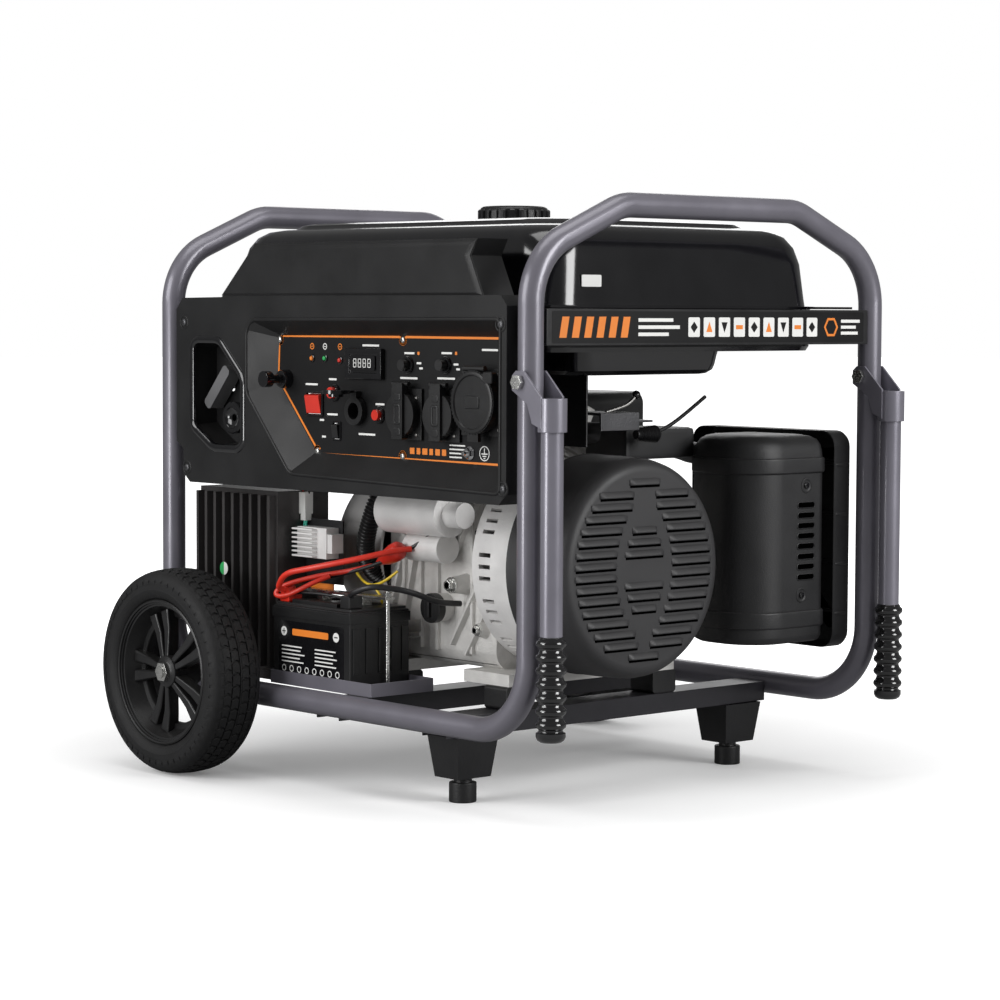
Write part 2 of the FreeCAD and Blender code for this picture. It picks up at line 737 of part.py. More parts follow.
PLATE_FACE = "face_y - panel_depth"          # distance of the control plate's face, towards -Y


def slot(name, x, z, wide, high, front="6", back="30"):
    """A rectangular cutter through the control plate, centred at x, z."""
    low = "0 - (%s) - %s" % (PLATE_FACE, front)
    far = "0 - (%s) + %s" % (PLATE_FACE, back)
    return block(name, ("mid + %s - %s / 2" % (x, wide), "mid + %s + %s / 2" % (x, wide)),
                 (low, far), ("%s - %s / 2" % (z, high), "%s + %s / 2" % (z, high)))


def drum(name, x, z, radius, front, back):
    """A round piece through the control plate; front and back are distances from its face."""
    return rod(name, "Y", ("mid + %s" % x, z), radius,
               "0 - (%s) - (%s)" % (PLATE_FACE, front), "0 - (%s) + (%s)" % (PLATE_FACE, back))


# centre on the plate (x, z) of each device
DISPLAY = ("50", "566")
ENGINE_SWITCH = ("-58", "511")
ECO_SWITCH = ("-11", "476")
RESET = ("-16", "527")
DC_BREAKER = ("77", "500")
AC_BREAKERS = (("left", "134", "566"), ("right", "208", "567"))
CHOKE = ("-118", "543")
DC_SOCKET = ("socket_x", "socket_z")
OUTLETS = (("left", "135", "503"), ("right", "209", "503"))
LARGE_OUTLET = ("large_x", "large_z")


def control_plate():
    """The plate that carries every switch and socket, with a hole for each."""
    low = "0 - (%s)" % PLATE_FACE
    outline = slab("plate_blank", "XZ", shifted(PLATE, 2), "plate", "%s - plate" % PLATE_FACE)
    cuts = [slot("cut_display", *DISPLAY, "68", "36"), slot("cut_engine", *ENGINE_SWITCH, "33", "28"),
            slot("cut_eco", *ECO_SWITCH, "15", "22")]
    for name, place, radius in (("reset", RESET, "5.6"), ("dc_breaker", DC_BREAKER, "5.6"),
                                ("choke", CHOKE, "9.4"), ("dc_socket", DC_SOCKET, "15.4")):
        cuts.append(drum("cut_" + name, *place, radius, "6", "30"))
    for side, x, z in AC_BREAKERS:
        cuts.append(drum("cut_ac_" + side, x, z, "7.4", "6", "30"))
    for side, x, z in OUTLETS:
        cuts.append(drum("cut_outlet_" + side, x, z, "21.4", "6", "30"))
    cuts.append(drum("cut_large", *LARGE_OUTLET, "33.4", "6", "30"))
    cuts.append(drum("cut_earth", "257", "458", "3", "6", "30"))
    finish(cut("plate_cut", outline, *cuts), "control_plate")
    bezel = slot("display_bezel", *DISPLAY, "74", "40", "7", "0 - 0.1")
    window = slot("display_recess", *DISPLAY, "56", "24", "8", "0 - 5")
    box = slot("display_box", *DISPLAY, "67", "35", "0.1", "22")
    finish(cut("display_cut", join("display_solid", bezel, box), window), "display")


def button(name, place, cap_radius, stem, proud):
    """A push button: its cap stands proud and its stem passes through the plate."""
    cap = drum(name + "_cap", *place, cap_radius, proud, "-1 * 2.8")
    shaft = drum(name + "_shaft", *place, stem, "2.8", "16")
    finish(join(name + "_solid", cap, shaft), name)


def controls():
    """Rockers, buttons and the choke knob."""
    for name, place, wide, high, tilt in (("engine_rocker", ENGINE_SWITCH, "30", "25", 10),
                                          ("eco_rocker", ECO_SWITCH, "12", "19", 8)):
        key = slot(name + "_key", *place, wide, high, "5", "9")
        spine = drum(name + "_spine", *place, "3", "0.5", "12")
        key = ease(name + "_rounded", key, 2, along("X"))
        rocker = join(name + "_solid", key, spine)
        pivot = spot("mid + " + place[0], "0 - (%s)" % PLATE_FACE, place[1])
        rocker.Placement = Placement(Vector(), Rotation(Vector(1, 0, 0), tilt), pivot)
        finish(rocker, name)
    button("reset_button", RESET, "7.5", "5", "9")
    button("dc_breaker_button", DC_BREAKER, "7", "5", "9")
    for side, x, z in AC_BREAKERS:
        button("ac_breaker_" + side, (x, z), "7", "6.8", "13")
    head = drum("choke_head", *CHOKE, "11", "42", "-1 * 30")
    neck = drum("choke_neck", *CHOKE, "6", "30", "40")
    finish(join("choke_solid", head, neck), "choke_knob")


def sockets():
    """Two flapped household outlets, one large round outlet and the 12 volt socket."""
    barrel = drum("dc_barrel", *DC_SOCKET, "15", "0.1", "28")
    ring = drum("dc_ring", *DC_SOCKET, "18.5", "9", "-1 * 0.1")
    ear = slot("dc_ear", "socket_x", "socket_z + 22", "12", "8", "9", "-1 * 0.1")
    well = drum("dc_well", *DC_SOCKET, "11", "10", "24")
    finish(cut("dc_cut", join("dc_solid", barrel, ring, ear), well), "dc_socket")
    hinge_y = "0 - (%s) - 12" % PLATE_FACE
    reach = "(%s - 25.5)" % hinge_y
    high = "socket_z + 23"
    lid = rod("dc_lid_disc", "Z", ("mid + socket_x", reach), "18.5", high, high + " + 5")
    plug = rod("dc_lid_plug", "Z", ("mid + socket_x", reach), "10", high + " - 4", high)
    strap = block("dc_lid_strap", ("mid + socket_x - 4", "mid + socket_x + 4"),
                  (hinge_y + " - 9", hinge_y + " + 2"), (high + " + 1", high + " + 4"))
    finish(join("dc_lid_solid", lid, plug, strap), "dc_socket_lid")

    for side, x, z in OUTLETS:
        plate = slot("outlet_plate_" + side, x, z, "60", "66", "4", "-1 * 0.1")
        collar = drum("outlet_collar_" + side, x, z, "flap_r - 1", "9", "-1 * 3")
        barrel = drum("outlet_barrel_" + side, x, z, "21", "0.2", "34")
        well = drum("outlet_well_" + side, x, z, "19.2", "12", "22")
        holes = [drum("outlet_pin_%s_%d" % (side, index), "%s + %g" % (x, shift), z, "2.4", "0", "32")
                 for index, shift in enumerate((-9.5, 9.5))]
        solid = join("outlet_solid_" + side, plate, collar, barrel)
        finish(cut("outlet_cut_" + side, solid, well, *holes), "outlet_" + side)
        lid = drum("flap_lid_" + side, x, z, "flap_r", "16", "-1 * 9.4")
        rib = slot("flap_bar_" + side, x, "(outlet_hinge_z - 35)", "flap_bar", "72", "19.5", "-1 * 9.4")
        rib = ease("flap_bar_round_" + side, rib, 2, along("Y"))
        barrel = rod("flap_hinge_" + side, "X", ("0 - (%s) - 13" % PLATE_FACE, "outlet_hinge_z"), "3",
                     "mid + %s - 16" % x, "mid + %s + 16" % x)
        finish(join("flap_solid_" + side, lid, rib, barrel), "outlet_%s_flap" % side)

    x, z = LARGE_OUTLET
    plate = slot("large_plate", x, z, "76", "84", "4", "-1 * 0.1")
    collar = drum("large_collar", x, z, "large_lid_r - 2", "12", "-1 * 3")
    barrel = drum("large_barrel", x, z, "33", "0.2", "40")
    well = drum("large_well", x, z, "29", "14", "28")
    pins = [drum("large_pin_%d" % index, "%s + %g" % (x, 14 * math.cos(math.radians(angle))),
                 "%s + %g" % (z, 14 * math.sin(math.radians(angle))), "3", "0", "38")
            for index, angle in enumerate((90, 210, 330))]
    finish(cut("large_cut", join("large_solid", plate, collar, barrel), well, *pins), "outlet_large")
    lid = drum("large_lid", x, z, "large_lid_r", "20", "-1 * 12.4")
    tab = slot("large_tab", x, "%s - 42" % z, "20", "14", "19", "-1 * 14")
    pin = rod("large_hinge", "X", ("0 - (%s) - 16" % PLATE_FACE, "%s + 42" % z), "3.5",
              "mid + %s - 20" % x, "mid + %s + 20" % x)
    finish(join("large_lid_solid", lid, tab, pin), "outlet_large_flap")


def recoil_handle():
    """Pull handle in the side window, knotted on its starting rope."""
    grip = part("Part::Box", "recoil_grip")
    bind(grip, "Length", "72")
    bind(grip, "Width", "22")
    bind(grip, "Height", "17")
    tilt = Rotation(Vector(0, 1, 0), -48)
    across, height = "mid + %g" % ROPE[0], "%g" % ROPE[1]
    centre = spot(across, "0 - face_y + 22", height)
    grip.Placement = Placement(centre + tilt.multVec(Vector(-36, -11, -8.5)), tilt)
    rope = rod("recoil_rope", "Y", (across, height), "2.5", "0 - face_y + 30", "0 - face_y + 270")
    finish(join("recoil_solid", ease("recoil_grip_round", grip, 6, along("Y")), rope), "recoil_handle")


# ---------------------------------------------------------------- engine
def inverter_module():
    """Finned inverter box that hangs on the left front of the frame."""
    left, right = "mid - 342", "mid - 165"
    front, back = "13.4 - post_y", "113.4 - post_y"
    core = block("inverter_core", (left, right), (front + " + 11", back), ("140", "388"))
    ribs = []
    for index in range(9):
        at = "%s + %g" % (left, 4 + 20.5 * index)
        ribs.append(block("inverter_rib_%d" % index, (at, at + " + 5"), (front, front + " + 12"),
                          ("146", "382")))
    foot = block("inverter_foot", (left, right), (front + " + 4", back), ("129", "141"))
    room = block("inverter_room", (left + " + 6", right + " - 6"), (front + " + 18", back + " + 1"),
                 ("166", "380"))
    tunnel = block("inverter_tunnel", ("mid + wheel_x - 18", "mid + wheel_x + 18"),
                   (front + " - 1", back + " + 1"),
                   ("128", "tyre_r + axle_sleeve_r + 4"))
    finish(cut("inverter_cut", join("inverter_solid", core, foot, *ribs), room, tunnel), "inverter_module")


def crankcase():
    """Cast crankcase, hollow, with bearings for the crankshaft at both ends."""
    def hollow(text, sign):
        return "%s %s case_wall" % (text, sign)
    left, right = "mid + case_left", "mid + case_right"
    outer = block("case_block", (left, right), ("case_front", "case_back"), ("case_bottom", "case_top"))
    outer = ease("case_round", outer, 26, along("X"))
    inner = block("case_inner", (hollow(left, "+"), hollow(right, "-")),
                  (hollow("case_front", "+"), hollow("case_back", "-")),
                  (hollow("case_bottom", "+"), hollow("case_top", "-")))
    crank = ("crank_y", "crank_z")
    bore = rod("case_bore", "X", crank, "crank_r + running", left + " - 40", right + " + 40")
    bearing = rod("case_bearing", "X", crank, "34", right + " - case_wall", right + " + 12")
    rear_bearing = rod("case_rear_bearing", "X", crank, "30", left + " - 10", left + " + case_wall")
    ribs = [block("case_rib_%d" % index, ("mid + %g" % x, "mid + %g" % (x + 5)),
                  ("case_front - 5", "case_front + 12"), ("case_bottom + 20", "case_top - 40"))
            for index, x in enumerate((-40, -5, 30, 100))]
    feet_blocks = []
    for index, (low, high) in enumerate((("inner_channel_x - 22", "inner_channel_x + 22"),
                                         ("case_right - 40", "channel_x + 22"))):
        feet_blocks.append(block("case_foot_%d" % index, ("mid + " + low, "mid + " + high),
                                 ("case_front - 22", "case_back + 22"),
                                 ("case_bottom - foot_drop", "case_bottom + 2")))
    spout = rod("case_spout", "Y", ("mid + plug_x", "plug_z"), "19", "case_front - 16", "case_front + 10")
    filler = rod("case_filler", "Y", ("mid + plug_x", "plug_z"), "11", "case_front - 17", "case_front + 20")
    solid = join("case_solid", outer, bearing, rear_bearing, spout, *ribs, *feet_blocks)
    finish(cut("case_cut", solid, inner, bore, filler), "crankcase")

    head = rod("plug_head", "Y", ("mid + plug_x", "plug_z"), "20", "case_front - 28", "case_front - 16.4")
    stem = rod("plug_stem", "Y", ("mid + plug_x", "plug_z"), "10.9", "case_front - 17", "case_front + 12")
    key = block("plug_key", ("mid + plug_x - 4", "mid + plug_x + 4"),
                ("case_front - 34", "case_front - 27"),
                ("plug_z - 12", "plug_z + 12"))
    finish(join("plug_solid", head, stem, key), "oil_plug")


def engine_mounts():
    """Rubber blocks between the channels and the engine feet."""
    pieces = []
    for end, word in (("left", "inner_channel_x"), ("right", "channel_x")):
        for side, y in (("front", "case_front - 4"), ("rear", "case_back + 4")):
            limits = (("mid + %s - 22" % word, "mid + %s + 22" % word), (y + " - 22", y + " + 22"),
                      ("channel_top", "case_bottom - foot_drop"))
            rubber = block("mount_%s_%s" % (end, side), *limits)
            pieces.append(ease("mount_round_%s_%s" % (end, side), rubber, 5, along("X")))
    finish(join("mounts_all", *pieces), "engine_mounts")


def cylinder():
    """Finned cylinder and head, leaning back from the crankcase."""
    tilt = Rotation(Vector(1, 0, 0), -number("cylinder_tilt"))
    origin = spot("mid", "crank_y", "crank_z")

    def leaning(name, x, across, up):
        item = part("Part::Box", name)
        for prop, (low, high) in zip(("Length", "Width", "Height"), (x, across, up)):
            setattr(item, prop, high - low)
        corner = tilt.multVec(Vector(x[0], across[0], up[0]))
        item.Placement = Placement(origin + corner, tilt)
        return item

    core = leaning("cylinder_core", (-34, 86), (-46, 46), (70, 226))
    fins = [leaning("cylinder_fin_%d" % index, (-46, 96), (-60, 60), (112 + 11 * index, 116 + 11 * index))
            for index in range(9)]
    rocker_box = leaning("rocker_box", (-30, 82), (-50, 50), (214, 240))
    solid = join("cylinder_solid", core, rocker_box, *fins)
    base = block("cylinder_trim", ("mid - 200", "mid + 200"), ("-300", "300"), ("100", "case_top"))
    finish(cut("cylinder_cut", solid, base), "cylinder_head")


def recoil_starter():
    """Fan cowl and recoil starter on the left end of the crankshaft."""
    left, right = "mid + case_left - 96", "mid + case_left - 1"
    outer = rod("cowl_outer", "X", ("crank_y", "crank_z"), "112", left, right)
    inner = rod("cowl_inner", "X", ("crank_y", "crank_z"), "108", left + " + 26", right + " + 1")
    nose = rod("cowl_nose", "X", ("crank_y", "crank_z"), "62", left + " - 14", left + " + 1")
    vents = []
    for index in range(12):
        angle = math.radians(30 * index)
        place = ("crank_y + 84 * %.6f" % math.cos(angle), "crank_z + 84 * %.6f" % math.sin(angle))
        vents.append(rod("cowl_vent_%d" % index, "X", place, "9", left + " - 2", left + " + 40"))
    finish(cut("cowl_cut", join("cowl_solid", outer, nose), inner, *vents), "recoil_starter")


BELL_SLOTS = 56                              # pitches round the bell; every fourth is left solid
LOUVRE_ROWS = 14                             # rows of cooling slots in the end cover
LOUVRE_PITCH = 15.6
LOUVRE_INNER = 34                            # the slots start this far from the upright middle line
LOUVRE_REACH = 128                           # and end on a circle of this radius


def alternator():
    """Slotted bell, stator, rotor on the crankshaft and the louvred end cover."""
    centre = ("crank_y", "crank_z")
    start = "mid + case_right + 0.2"
    end = "mid + bell_end"
    outer = rod("bell_outer", "X", centre, "bell_r", start, end)
    inner = rod("bell_inner", "X", centre, "bell_r - 8", start + " + 10", end + " + 1")
    passage = rod("bell_passage", "X", centre, "36", start + " - 1", start + " + 12")
    slots = []
    for index in range(BELL_SLOTS):
        if index % 4 == 0:
            continue
        item = part("Part::Box", "bell_slot_%d" % index)
        item.Length = 22
        item.Width = 5.6
        item.Height = 60
        spin = Rotation(Vector(1, 0, 0), 360 / BELL_SLOTS * index)
        corner = spin.multVec(Vector(0, -2.8, number("bell_r") - 30))
        item.Placement = Placement(spot(start + " + 13", *centre) + corner, spin)
        slots.append(item)
    finish(cut("bell_cut", outer, inner, passage, *slots), "bell_housing")

    body = rod("stator_ring", "X", centre, "stator_r", "mid + 232", "mid + 290")
    hole = rod("stator_hole", "X", centre, "rotor_r + air_gap", "mid + 231", "mid + 291")
    ears = block("stator_ears", ("mid + 224", "mid + 233"), ("crank_y - 40", "crank_y + 40"),
                 ("crank_z + 84", "crank_z + 128"))
    low_ears = block("stator_low_ears", ("mid + 224", "mid + 233"), ("crank_y - 40", "crank_y + 40"),
                     ("crank_z - 128", "crank_z - 84"))
    finish(cut("stator_cut", join("stator_solid", body, ears, low_ears), hole), "stator")

    shaft = rod("shaft_bar", "X", centre, "crank_r", "mid + case_left - 66", "mid + 306")
    drum_body = rod("rotor_drum", "X", centre, "rotor_r", "mid + 234", "mid + 288")
    web = rod("crank_web", "X", centre, "56", "mid + 10", "mid + 24")
    second_web = rod("crank_second_web", "X", centre, "56", "mid + 56", "mid + 70")
    flywheel = rod("flywheel", "X", centre, "96", "mid + case_left - 62", "mid + case_left - 36")
    finish(join("rotor_solid", shaft, drum_body, web, second_web, flywheel), "rotor_shaft")

    back = "mid + bell_end + 1"
    front = "mid + cover_end"
    shell = rod("cover_outer", "X", centre, "cover_r", back, front)
    shell = ease("cover_round", shell, 9, level("X", front))
    room = rod("cover_room", "X", centre, "cover_r - 4", back + " - 1", front + " - 5")
    louvres = []
    for row in range(LOUVRE_ROWS):
        rise = (row - (LOUVRE_ROWS - 1) / 2) * LOUVRE_PITCH
        reach = math.sqrt(max(0.0, LOUVRE_REACH ** 2 - rise ** 2))
        if reach < LOUVRE_INNER + 11:
            continue
        for side, column in (("a", -1), ("b", 1)):
            low, high = sorted((column * LOUVRE_INNER, column * reach))
            louvres.append(block("louvre_%d_%s" % (row, side),
                                 (front + " - 8", front + " + 1"),
                                 ("crank_y + %g" % low, "crank_y + %g" % high),
                                 ("crank_z + %g" % rise, "crank_z + %g" % (rise + 4))))
    finish(cut("cover_cut", shell, room, *louvres), "alternator_cover")


def starter_motor():
    """Electric starter and its solenoid beside the crankcase."""
    motor = rod("starter_body", "X", ("-215", "368"), "30", "mid - 12", "mid + 112")
    nose = rod("starter_nose", "X", ("-215", "368"), "17", "mid + 112", "mid + 140")
    solenoid = rod("starter_solenoid", "X", ("-193", "320"), "20", "mid + 10", "mid + 80")
    saddle = block("starter_saddle", ("mid + 20", "mid + 70"), ("-200", "case_front - 5.2"), ("330", "352"))
    finish(join("starter_solid", motor, nose, solenoid, saddle), "starter_motor")


def air_cleaner():
    """Air cleaner box behind the engine."""
    box = block("cleaner_box", ("mid - 190", "mid - 20"), ("128", "270"), ("380", "520"))
    box = ease("cleaner_round", box, 18, along("Y"))
    intake = rod("cleaner_intake", "X", ("180", "450"), "22", "mid - 21", "mid + 20")
    arm = block("cleaner_arm", ("mid - 130", "mid - 90"), ("case_back + 0.2", "130"), ("384", "398"))
    finish(join("cleaner_solid", box, intake, arm), "air_cleaner")


# ---------------------------------------------------------------- exhaust
def exhaust():
    """Upright muffler can on its exhaust pipe, and the bent guard behind it."""
    def can(name, grow):
        limits = (("mid + muffler_left + %s" % grow, "mid + muffler_right - %s" % grow),
                  ("muffler_front + %s" % grow, "muffler_back - %s" % grow),
                  ("muffler_bottom + %s" % grow, "muffler_top - %s" % grow))
        item = block(name + "_blank", *limits)
        doc.recompute()
        front = number("muffler_front + %s" % grow)
        upright = along("Z")
        item = ease(name + "_front", item, "60 - %s" % grow,
                    lambda edge: upright(edge) and abs(edge.BoundBox.YMin - front) < 0.01)
        doc.recompute()
        back = number("muffler_back - %s" % grow)
        item = ease(name + "_back", item, "16 - %s" % grow,
                    lambda edge: upright(edge) and abs(edge.BoundBox.YMin - back) < 0.01)
        item = ease(name + "_top", item, "13 - %s" % grow, level("Z", "muffler_top - %s" % grow))
        return ease(name, item, "9 - %s" % grow, level("Z", "muffler_bottom + %s" % grow))

    outer = can("muffler_can", "0")
    inner = can("muffler_inside", "muffler_wall")
    pipe_points = [spot("mid + 97", "20", "470"), spot("mid + 146", "20", "470"),
                   spot("mid + 146", "175", "440"), spot("mid + muffler_left + 6", "175", "440")]
    pipe = coded("exhaust_pipe", bent_tube(pipe_points, [30, 30], 15, 2))
    slots = [block("muffler_slot_%d" % index, ("mid + muffler_right - 3", "mid + muffler_right + 1"),
                   ("213", "247"), ("%g" % low, "%g" % (low + 7)))
             for index, low in enumerate(range(273, 385, 14))]
    finish(cut("muffler_cut", join("muffler_solid", outer, pipe), inner, *slots), "muffler")

    edge = "mid + guard_right"
    sheet_outline = [("mid + 75", "guard_y"), ("mid + 75", "guard_y - 2"), (edge + " - 10", "guard_y - 2"),
                     (edge + " - 2", "guard_y - 10"), (edge + " - 2", "muffler_back + 2"),
                     (edge, "muffler_back + 2"), (edge, "guard_y - 9"), (edge + " - 9", "guard_y")]
    guard = slab("guard_sheet", "XY", sheet_outline, "muffler_top - muffler_bottom + 14",
                 "muffler_bottom - 10")
    stays = [block("guard_stay_%d" % index, ("mid + 240", "mid + 262"), ("muffler_back", "guard_y - 2"),
                   ("%g" % z, "%g" % (z + 3))) for index, z in enumerate((240, 420))]
    finish(join("guard_solid", guard, *stays), "muffler_guard")


# ---------------------------------------------------------------- battery
def battery():
    """Starting battery in a tray on the front rail, held by a bar on two threaded rods."""
    left, right = "mid + battery_left", "mid + battery_right"
    floor = "rail_z + tube_r + 0.3"
    base = "rail_z + tube_r + 3.5"
    box = block("battery_box", (left, right), ("battery_front", "battery_back"), (base, "battery_top"))
    lid = block("battery_lid", (left + " + 3", right + " - 3"), ("battery_front + 3", "battery_back - 3"),
                ("battery_top", "battery_top + 4"))
    posts = []
    for name, x in (("plus", left + " + 18"), ("minus", right + " - 18")):
        posts.append(block("battery_post_" + name, (x + " - 7", x + " + 7"),
                           ("battery_front + 10", "battery_front + 24"),
                           ("battery_top", "battery_top + 14")))
    finish(join("battery_solid", box, lid, *posts), "battery")

    gap = "1"
    outline = (("%s - %s - 2" % (left, gap), "%s + %s + 46" % (right, gap)),
               ("battery_front - %s - 2" % gap, "battery_back + %s + 2" % gap))
    tray = block("tray_outer", *outline, (floor, "%s + tray_lip" % floor))
    room = block("tray_room", ("%s - %s" % (left, gap), "%s + %s + 44" % (right, gap)),
                 ("battery_front - %s" % gap, "battery_back + %s" % gap),
                 ("%s + 2" % floor, "%s + tray_lip + 1" % floor))
    arm = block("tray_arm", ("mid - 60", "mid - 10"), ("battery_back + 3", "case_front - 27"),
                (floor, floor + " + 3"))
    finish(join("tray_solid", cut("tray_cut", tray, room), arm), "battery_tray")

    bar_low = "battery_top + 15"
    bar_high = bar_low + " + 4"
    bar = block("clamp_bar", (left + " - 10", right + " + 14"), ("-256", "-240"), (bar_low, bar_high))
    pads = [block("clamp_pad_" + side, (x + " - 6", x + " + 6"), ("-256", "-240"),
                  ("battery_top + 4.1", bar_low))
            for side, x in (("left", left + " + 40"), ("right", right + " - 40"))]
    bolt = (right + " + 9", "-248")
    stem = rod("clamp_rod", "Z", bolt, "3", floor + " + 2.1", bar_low + " + 14")
    nut = hexagon("clamp_nut", "Z", bolt, "12", bar_high, bar_low + " + 10")
    finish(join("clamp_solid", bar, *pads, stem, nut), "battery_clamp")


def battery_leads():
    """Positive lead to the starter solenoid and negative lead to the crankcase."""
    routes = {
        "battery_lead_red": (4, [("mid - 135", "-288", "254.4"), ("mid - 135", "-312", "258"),
                                 ("mid - 105", "-324", "282"), ("mid - 50", "-306", "294"),
                                 ("mid - 5", "-272", "306"), ("mid + 22", "-238", "316"),
                                 ("mid + 32", "-216", "318")]),
        "battery_lead_black": (4, [("mid - 5", "-288", "254.4"), ("mid + 12", "-304", "262"),
                                   ("mid + 44", "-296", "274"), ("mid + 74", "-258", "268"),
                                   ("mid + 84", "-214", "250"), ("mid + 84", "-174", "246")]),
    }
    for name, (radius, route) in routes.items():
        points = [spot(*place) for place in route]
        radii = cord_radii(points)
        shape = bent_tube(points, radii, radius)
        length = bent_path(points, radii).Length
        print(name, "length %.0f, smallest bend %.1f, volume ratio %.3f"
              % (length, min(radii), shape.Volume / (math.pi * radius ** 2 * length)))
        finish(coded(name + "_cord", shape), name)


# ---------------------------------------------------------------- build and write
for make in (frame_loops, frame_rails, tank_beams, cross_channels, feet, wheels, bolts, handles, fuel_tank,
             panel_housing, control_plate, controls, sockets, recoil_handle, inverter_module, crankcase,
             engine_mounts, cylinder, recoil_starter, alternator, starter_motor, air_cleaner, exhaust,
             battery, battery_leads):
    make()
doc.recompute()

for item in doc.Objects:
    if "Invalid" in item.State or "Error" in item.State:
        raise RuntimeError("%s failed: %s" % (item.Name, item.State))

os.makedirs("parts", exist_ok=True)
for item in FINISHED:
    shape = item.Shape
    if shape.isNull() or not shape.isValid() or shape.Volume <= 0:
        raise RuntimeError("%s has no sound shape" % item.Label)
    shape.exportStep("parts/%s.step" % item.Label)
print(len(FINISHED), "sub-parts")
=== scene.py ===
# %% [markdown]
# # An open-frame inverter generator
# The machine stands on two wheels and two rubber feet inside a cage of bent tube. Its working parts
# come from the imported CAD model, which this lesson imports, and every look is built around them here.
# The camera and the studio come first, then the finishes, then the machine from the outside in.

import math
import random

import bmesh
import bpy
from mathutils import Matrix, Vector


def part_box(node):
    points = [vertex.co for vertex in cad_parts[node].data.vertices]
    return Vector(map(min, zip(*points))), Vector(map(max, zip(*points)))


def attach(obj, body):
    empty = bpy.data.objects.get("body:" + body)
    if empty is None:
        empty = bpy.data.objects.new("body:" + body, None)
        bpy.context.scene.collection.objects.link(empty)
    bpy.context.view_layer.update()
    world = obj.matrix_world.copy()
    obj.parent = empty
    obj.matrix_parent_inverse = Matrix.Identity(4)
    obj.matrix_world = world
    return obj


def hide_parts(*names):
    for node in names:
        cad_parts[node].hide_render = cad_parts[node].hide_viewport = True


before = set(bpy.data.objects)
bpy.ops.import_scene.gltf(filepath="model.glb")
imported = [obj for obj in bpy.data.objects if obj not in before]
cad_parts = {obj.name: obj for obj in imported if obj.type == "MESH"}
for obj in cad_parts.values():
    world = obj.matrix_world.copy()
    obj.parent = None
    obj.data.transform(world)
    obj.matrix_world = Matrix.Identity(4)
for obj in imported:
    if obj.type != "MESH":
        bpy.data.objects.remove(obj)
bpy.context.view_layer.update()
MM = 0.001
rail_low, rail_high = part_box("frame_rail_front")
MID = (rail_low.x + rail_high.x) / 2 / MM

# %% [markdown]
# ## Camera
# The machine is seen from its front right corner, from just below the top of the tank, with a long
# lens that keeps the uprights nearly parallel. A long lens far away is what a catalogue studio uses.

# %% Camera
camera = bpy.data.objects.new("camera", bpy.data.cameras.new("camera"))
bpy.context.scene.collection.objects.link(camera)
camera.data.sensor_width = 36
camera.data.lens = 104.48
heading, dip, roll = math.radians(48.07), math.radians(90 - 3.70), math.radians(0.263)
turn = Matrix.Rotation(heading, 4, "Z") @ Matrix.Rotation(dip, 4, "X") @ Matrix.Rotation(roll, 4, "Z")
camera.matrix_world = Matrix.Translation((2.9693, -2.7091, 0.6338)) @ turn
camera.data.clip_end = 60
bpy.context.scene.camera = camera
print("camera stands", round(camera.location.length, 2), "m from the middle of the floor")

# %% [markdown]
# ## Floor and light
# A pale seamless floor runs far behind the machine. To the camera the sky and the floor are both close
# to white, so no horizon shows, but the machine itself sees only a dim sky, which keeps its blacks
# deep. Two large soft panels light the front and the right side, and a long one overhead draws the
# bright lines on the tubes and the tank. A small low lamp reaches into the engine bay.

# %% Floor and light
def plain_finish(name, colour, roughness):
    material = bpy.data.materials.new(name)
    material.use_nodes = True
    shader = material.node_tree.nodes["Principled BSDF"]
    shader.inputs["Base Color"].default_value = (*colour, 1)
    shader.inputs["Roughness"].default_value = roughness
    return material


FLOOR = 30  # half the width of the floor, in metres
GLOW_NEAR, GLOW_FAR = 0.35, 1.9  # where the floor's own brightness begins to rise, and where it is full
floor_mesh = bpy.data.meshes.new("floor")
floor_mesh.from_pydata([(-FLOOR, -FLOOR, 0), (FLOOR, -FLOOR, 0), (FLOOR, FLOOR, 0), (-FLOOR, FLOOR, 0)],
                       [], [(0, 1, 2, 3)])
floor = bpy.data.objects.new("floor", floor_mesh)
bpy.context.scene.collection.objects.link(floor)
floor_paint = plain_finish("pale_floor", (0.62, 0.62, 0.62), 0.6)
floor_tree = floor_paint.node_tree
floor_shader = floor_tree.nodes["Principled BSDF"]
floor_shader.inputs["Specular IOR Level"].default_value = 0.0
floor_shader.inputs["Emission Color"].default_value = (1, 1, 1, 1)


def added(tree, kind, **settings):
    made = tree.nodes.new(kind)
    for name, value in settings.items():
        setattr(made, name, value)
    return made


# Painted glow: the floor gives off light to camera rays only. The glow is weak within GLOW_NEAR of the middle
# and full beyond GLOW_FAR, so the ground round the machine reads darker as painted shade. Camera rays also see
# a lighter base colour than the light the floor sends onto the machine.
seen = added(floor_tree, "ShaderNodeLightPath")
place = added(floor_tree, "ShaderNodeTexCoord")
reach = added(floor_tree, "ShaderNodeVectorMath", operation="LENGTH")
fade = added(floor_tree, "ShaderNodeMapRange", interpolation_type="SMOOTHSTEP")
for label, value in (("From Min", GLOW_NEAR), ("From Max", GLOW_FAR), ("To Min", 0.10), ("To Max", 1.0)):
    fade.inputs[label].default_value = value
glow = added(floor_tree, "ShaderNodeMath", operation="MULTIPLY")
tone = added(floor_tree, "ShaderNodeMapRange")
tone.inputs["To Min"].default_value = 0.30
tone.inputs["To Max"].default_value = 0.95
floor_tree.links.new(place.outputs["Object"], reach.inputs[0])
floor_tree.links.new(reach.outputs["Value"], fade.inputs["Value"])
floor_tree.links.new(fade.outputs[0], glow.inputs[0])
floor_tree.links.new(seen.outputs["Is Camera Ray"], glow.inputs[1])
floor_tree.links.new(glow.outputs[0], floor_shader.inputs["Emission Strength"])
floor_tree.links.new(seen.outputs["Is Camera Ray"], tone.inputs["Value"])
floor_tree.links.new(tone.outputs[0], floor_shader.inputs["Base Color"])
floor_mesh.materials.append(floor_paint)


